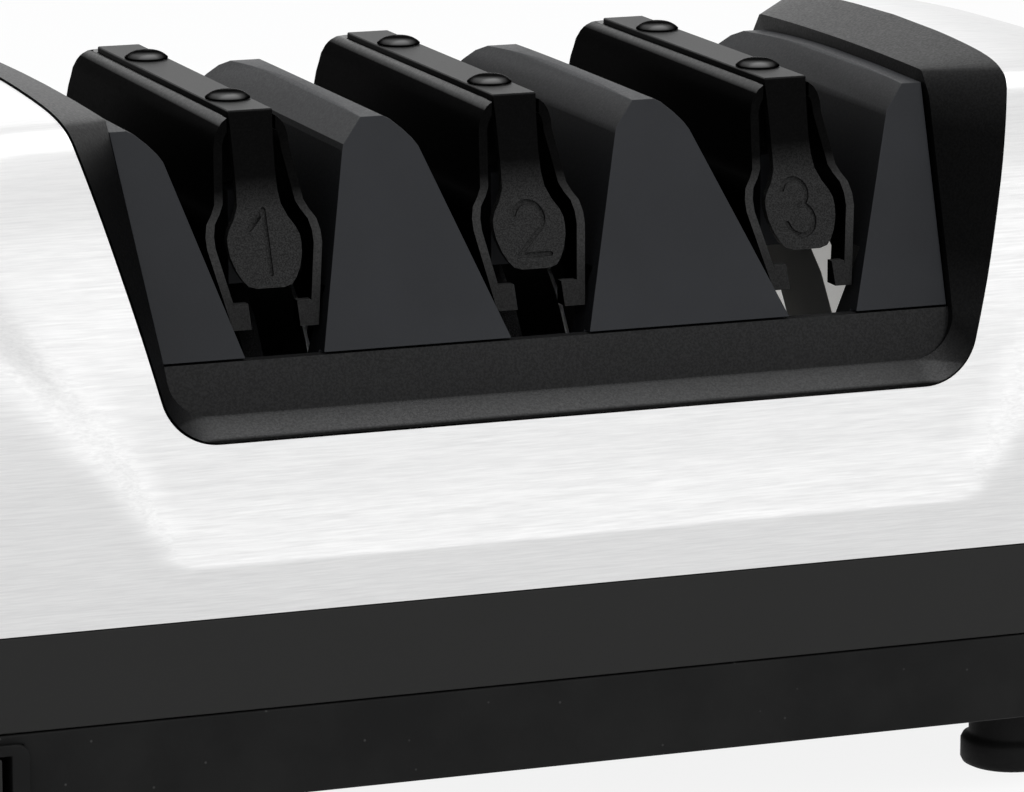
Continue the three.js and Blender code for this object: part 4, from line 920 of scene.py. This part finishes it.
# Painted shade on the plate's faces that look along X.
painted_shade_on_sides(bridge_grain, share=0.4, start=0.5, end=0.9)
pits = noise(tree, object_place(tree), scale=1 / PIT_SIZE, detail=1.0)["Fac"]
relief(tree, pits, strength=on_plate(1, 0.1, 0.25), depth=0.1 * MM)

for number, middle in STAGE_MIDDLES.items():
    plate = dressed("bridge_plate_%d" % number, "housing", bridge_grain, 0.15 * MM)
    apply_modifiers(plate)
    for path in NUMERALS[number]:
        outline = stroke_outline([(x * MM, z * MM) for x, z in path], GROOVE_HALF)
        cutter = prism("groove", [(middle + x, z) for x, z in outline], -GROOVE_REACH, GROOVE_DEPTH)
        for corner in cutter.data.vertices:
            corner.co.y -= tab_depth(corner.co.z)
        cut_by(plate, cutter)
    smooth_faces(plate, 30)
    weighed = plate.modifiers.new("flat_faces", "WEIGHTED_NORMAL")
    weighed.keep_sharp = True

# The bridge screws: black self-tapping steel screws with low domed heads, two to each plate. They
# go through the plate and the spring into the rail beneath.
HEAD_RADIUS = 3.25 * MM
HEAD_HEIGHT = 1.2 * MM
HEAD_RIM = 0.14 * HEAD_HEIGHT
HEAD_SEAT = 104.55 * MM
SHANK_RADIUS = 1.4 * MM
SHANK_LENGTH = 18 * MM
DOME_STEPS = 10
WELD_GAP = 0.001 * MM
# Painted light and shade on the screw heads by height: painted shade round the rim, a painted highlight
# part way up and a darker top.
HEAD_LIGHT_AND_SHADE = [
    (HEAD_SEAT + 0.1 * MM, 0.005),
    (HEAD_SEAT + 0.34 * MM, 0.05),
    (HEAD_SEAT + 0.7 * MM, 0.1),
    (HEAD_SEAT + HEAD_HEIGHT, 0.045),
]


def spun(name, profile, steps=32):
    """A closed profile of (radius, height) points, turned round the Z axis."""
    work = bmesh.new()
    corners = [work.verts.new((r, 0, h)) for r, h in profile]
    rim = [work.edges.new((a, b)) for a, b in zip(corners, corners[1:])]
    bmesh.ops.spin(
        work,
        geom=corners + rim,
        cent=(0, 0, 0),
        axis=(0, 0, 1),
        angle=2 * math.pi,
        steps=steps,
        use_merge=True,
    )
    bmesh.ops.remove_doubles(work, verts=work.verts, dist=WELD_GAP)
    bmesh.ops.recalc_face_normals(work, faces=work.faces)
    return as_object(name, work)


def over(piece, node, height):
    """Moves the piece's mesh to a height over the middle of a CAD node's box."""
    low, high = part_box(node)
    piece.data.transform(Matrix.Translation(((low[0] + high[0]) / 2, (low[1] + high[1]) / 2, height)))
    return piece


screw_black, tree, shader = new_material(
    "screw_black", Metallic=1.0, Roughness=0.26, Specular_Tint=(0.1, 0.1, 0.1, 1)
)
# The head's colour carries the painted shade at its rim and the painted highlight part way up.
tree.links.new(by_level(tree, HEAD_LIGHT_AND_SHADE), shader.inputs["Base Color"])
screw_profile = [(0, -SHANK_LENGTH), (SHANK_RADIUS, -SHANK_LENGTH), (SHANK_RADIUS, 0), (HEAD_RADIUS, 0)]
for step in range(DOME_STEPS + 1):
    share = 1 - step / DOME_STEPS
    screw_profile.append((HEAD_RADIUS * share, HEAD_RIM + (HEAD_HEIGHT - HEAD_RIM) * (1 - share**3)))
for number in (1, 2, 3):
    for end in ("front", "rear"):
        node = "bridge_screw_%s_%d" % (end, number)
        screw = over(spun(node + "_look", screw_profile), node, HEAD_SEAT)
        finished(screw, [node], "housing", screw_black, angle=35)

# The base band: a smooth satin black wall under the cover. The cover's foot stands on it, and it
# stands on the tray along a fine seam.
band_black = moulded(
    "band_black",
    (0.0112, 0.0112, 0.0108),
    roughness=0.36,
    grain=0.9 * MM,
    depth=0.006 * MM,
    sheen=0.19,
    lighter=1.1,
)
dressed("base_band", "housing", band_black, 0.35 * MM, segments=3)

# The base tray: the lower shell, moulded in a darker, matt black plastic, with faint scuffs and
# specks of dust on its wall. It carries the motor, the switch and the feet.
SCUFF_DARK = (0.0050, 0.0051, 0.0051)
SCUFF_LIGHT = (0.0082, 0.0083, 0.0081)
DUST = (0.03, 0.03, 0.029)
tray_black, tree, shader = new_material("tray_black", Specular_IOR_Level=0.12)
scuffs = noise(tree, object_place(tree), scale=70.0, detail=5.0, roughness=0.6)["Fac"]
speck = shader_node(tree, "ShaderNodeTexVoronoi", Scale=260.0, Randomness=1.0)
tree.links.new(object_place(tree), speck.inputs["Vector"])
dust = ramp(tree, speck.outputs["Distance"], DUST, 0, start=0.03, end=0.06)
wall = ramp(tree, scuffs, SCUFF_DARK, SCUFF_LIGHT, start=0.4, end=0.75)
tree.links.new(vectors(tree, "ADD", wall, dust)["Vector"], shader.inputs["Base Color"])
tree.links.new(ramp(tree, scuffs, 0.62, 0.48, start=0.35, end=0.7), shader.inputs["Roughness"])
pits = noise(tree, object_place(tree), scale=2200.0, detail=1.0)["Fac"]
relief(tree, pits, strength=0.4, depth=0.02 * MM)
dressed("base_tray", "housing", tray_black, 0.4 * MM, segments=3)

# The feet: four soft rubber buttons on short necks. Each neck is pushed into the underside of the
# tray, and the wide pad grips the worktop.
PAD_RADIUS = 7.3 * MM
PAD_HEIGHT = 4.5 * MM
PAD_BEVEL = 0.9 * MM
NECK_RADIUS = 6.1 * MM
FOOT_TOP = 10.65 * MM
FOOT_ROUND = 0.5 * MM
FOOT_STEPS = 48
rubber = moulded(
    "foot_rubber",
    (0.005, 0.005, 0.005),
    roughness=0.62,
    grain=0.4 * MM,
    depth=0.03 * MM,
    sheen=0.12,
    lighter=1.3,
)
foot_profile = [
    (0, 0),
    (PAD_RADIUS - PAD_BEVEL, 0),
    (PAD_RADIUS - PAD_BEVEL / 3, PAD_BEVEL / 3),
    (PAD_RADIUS, PAD_BEVEL),
    (PAD_RADIUS, PAD_HEIGHT - PAD_BEVEL),
    (PAD_RADIUS - PAD_BEVEL / 3, PAD_HEIGHT - PAD_BEVEL / 3),
    (NECK_RADIUS + FOOT_ROUND / 2, PAD_HEIGHT),
    (NECK_RADIUS, PAD_HEIGHT + FOOT_ROUND),
    (NECK_RADIUS, FOOT_TOP),
    (0, FOOT_TOP),
]
for node in ("foot_front_left", "foot_rear_left", "foot_front_right", "foot_rear_right"):
    foot = over(spun(node + "_look", foot_profile, FOOT_STEPS), node, 0)
    finished(foot, [node], "housing", rubber, angle=40)

# The base screws: zinc-plated steel screws, one near each corner of the tray. Their heads are sunk
# in its underside, and their shanks run up in bosses on its floor.
TURNING_LINES = (5200, 400, 400)
STEEL_DARK = (0.42, 0.42, 0.42)
STEEL_LIGHT = (0.66, 0.66, 0.65)
steel, tree, shader = new_material("bright_steel", Metallic=1.0)
turning = lined(tree, object_place(tree), TURNING_LINES, detail=2.0)
steel_colour = ramp(tree, turning, STEEL_DARK, STEEL_LIGHT, start=0.3, end=0.7)
tree.links.new(steel_colour, shader.inputs["Base Color"])
tree.links.new(ramp(tree, turning, 0.34, 0.2, start=0.3, end=0.7), shader.inputs["Roughness"])
for number in (1, 2, 3, 4):
    dressed("base_screw_%d" % number, "housing", steel, 0.15 * MM, angle=35)

# The switch: a black rocker in a small moulded surround at the front left of the tray. The rocker
# is tipped to its off side, and its face has a shallow valley across the middle.
dressed("switch_housing", "housing", tray_black, 0.25 * MM, segments=3)
dressed("switch_rocker", "rocker", band_black, 0.3 * MM, segments=3)

# The cord gland: a soft rubber bush in the rear wall of the band, with a bead round its mouth. Its
# neck is pressed into the wall.
dressed("cord_gland", "housing", rubber, 0.3 * MM, segments=3)

# The dressing lever and its pad, behind the third stage: the lever turns on a post and swings the
# pad, faced with diamond, on to one disc or the other to clean it.
SHAFT_HEIGHT = 52 * MM
RIM_START = 28.8 * MM
RIM_BLEND = 0.15 * MM
RIM_STEEL = (0.95, 0.95, 0.95, 1)
DIAMOND_LIGHT = (0.02, 0.02, 0.021)
DIAMOND_DARK = (0.004, 0.004, 0.0045)
dressed("dressing_lever", "lever", frame_black, 0.3 * MM)
abrasive, tree, shader = new_material("diamond_abrasive", Metallic=0.85, Roughness=0.42)
grit = shader_node(tree, "ShaderNodeTexVoronoi", Scale=5200.0)
tree.links.new(object_place(tree), grit.inputs["Vector"])
axis_down = (0, 0, -SHAFT_HEIGHT)
from_axis = vectors(tree, "MULTIPLY_ADD", object_place(tree), (0, 1, 1), axis_down)["Vector"]
reach = vectors(tree, "LENGTH", from_axis)["Value"]
diamond = ramp(tree, grit.outputs["Distance"], DIAMOND_LIGHT, DIAMOND_DARK, start=0.2, end=0.6)
on_rim = between_limits(tree, reach, RIM_START, RIM_START + RIM_BLEND)
tree.links.new(mixed(tree, on_rim, diamond, RIM_STEEL, "RGBA"), shader.inputs["Base Color"])
relief(tree, grit.outputs["Distance"], strength=0.8, depth=0.05 * MM)
dressed("dressing_pad", "lever", abrasive, 0.2 * MM)

# The discs: steel spools plated with diamond, with a bare bright rim, in the first two stages, and
# thick off-white polymer ones in the third. Each slides on the shaft by a hub with a notch.
# The polymer's rims glow: painted light that stands in for the light falling on them deep in the slot.
RIM_PAINTED_LIGHT = 0.3
polymer = moulded(
    "stropping_polymer",
    (0.88, 0.87, 0.84),
    roughness=0.5,
    grain=0.5 * MM,
    depth=0.03 * MM,
    lighter=1.03,
    Emission_Color=(1.0, 0.99, 0.96, 1),
)
tree = polymer.node_tree
rim_painted_light = mixed(tree, facing(tree, "X", start=0.3, end=0.9), RIM_PAINTED_LIGHT, 0.0)
tree.links.new(rim_painted_light, tree.nodes["Principled BSDF"].inputs["Emission Strength"])
# Painted shade on the polymer discs' faces that look along X.
painted_shade_on_sides(polymer, share=0.4, start=0.3, end=0.9)
DISC_FACES = {
    1: ("diamond_abrasive", abrasive),
    2: ("diamond_abrasive", abrasive),
    3: ("stropping_polymer", polymer),
}
for number, (slot, face) in DISC_FACES.items():
    for side in ("left", "right"):
        node = "disc_%s_%d" % (side, number)
        dressed(node, node + "_body", face, 0.1 * MM)


def half_spring(number, side, outwards):
    """One half of a stage's coil spring, cut at the middle of the stage and closed there."""
    node = "disc_spring_%d" % number
    middle = STAGE_MIDDLES[number]
    work = copied(node)
    bmesh.ops.remove_doubles(work, verts=work.verts, dist=WELD_GAP)
    bmesh.ops.bisect_plane(
        work,
        geom=work.verts[:] + work.edges[:] + work.faces[:],
        plane_co=(middle, 0, 0),
        plane_no=(-outwards, 0, 0),
        clear_outer=True,
    )
    bmesh.ops.holes_fill(work, edges=[edge for edge in work.edges if edge.is_boundary])
    half = as_object("%s_%s_half" % (node, side), work)
    finished(half, [node], "shaft", steel, angle=40)
    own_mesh(half)


for node in ("drive_shaft", "motor_rotor"):
    dressed(node, "shaft", steel, 0.2 * MM)
for number in (1, 2, 3):
    for side in ("left", "right"):
        dressed("drive_pin_%s_%d" % (side, number), "shaft", steel, 0.1 * MM)
    half_spring(number, "left", -1)
    half_spring(number, "right", 1)

# The motor: a laminated iron yoke with a copper coil, two brackets with bronze bearings that hold
# its shaft, a bearing at the far end, and a fan.
SHEET_LINES = (1900, 30, 30)
IRON_DARK = (0.035, 0.035, 0.037)
IRON_LIGHT = (0.12, 0.12, 0.12)
iron, tree, shader = new_material("motor_iron", Metallic=0.6, Roughness=0.5)
sheets = lined(tree, object_place(tree), SHEET_LINES, detail=1.0)
iron_colour = ramp(tree, sheets, IRON_DARK, IRON_LIGHT, start=0.35, end=0.65)
tree.links.new(iron_colour, shader.inputs["Base Color"])
relief(tree, sheets, strength=0.7, depth=0.1 * MM)
dressed("motor_stator", "housing", iron, 0.3 * MM)

WIRE_LINES = (60, 2600, 60)
COPPER_DARK = (0.30, 0.12, 0.05)
COPPER_LIGHT = (0.62, 0.30, 0.14)
copper, tree, shader = new_material("copper_winding", Metallic=0.9, Roughness=0.38)
wires = lined(tree, object_place(tree), WIRE_LINES, detail=1.0)
copper_colour = ramp(tree, wires, COPPER_DARK, COPPER_LIGHT, start=0.35, end=0.65)
tree.links.new(copper_colour, shader.inputs["Base Color"])
relief(tree, wires, strength=0.9, depth=0.15 * MM)
dressed("motor_coil", "housing", copper, 1.6 * MM, segments=4)

bronze = moulded(
    "bearing_bronze",
    (0.32, 0.20, 0.08),
    roughness=0.45,
    grain=0.3 * MM,
    depth=0.02 * MM,
    lighter=1.3,
    Metallic=0.9,
)
for place in ("left", "middle", "right"):
    dressed("bearing_bracket_" + place, "housing", steel, 0.3 * MM)
    dressed("bearing_" + place, "housing", bronze, 0.25 * MM)
fan_black = moulded("fan_black", (0.02, 0.02, 0.02), roughness=0.5, grain=0.6 * MM, depth=0.02 * MM)
dressed("cooling_fan", "shaft", fan_black, 0.2 * MM)

# The clean-out cover: a moulded plate in the tray's floor that drops out for cleaning. A ferrite
# magnet glued on its inside gathers the metal dust.
dressed("clean_out_cover", "door", tray_black, 0.3 * MM)
magnet = moulded(
    "magnet_ferrite", (0.04, 0.038, 0.036), roughness=0.6, grain=0.5 * MM, depth=0.04 * MM
)
dressed("cover_magnet", "door", magnet, 0.3 * MM)
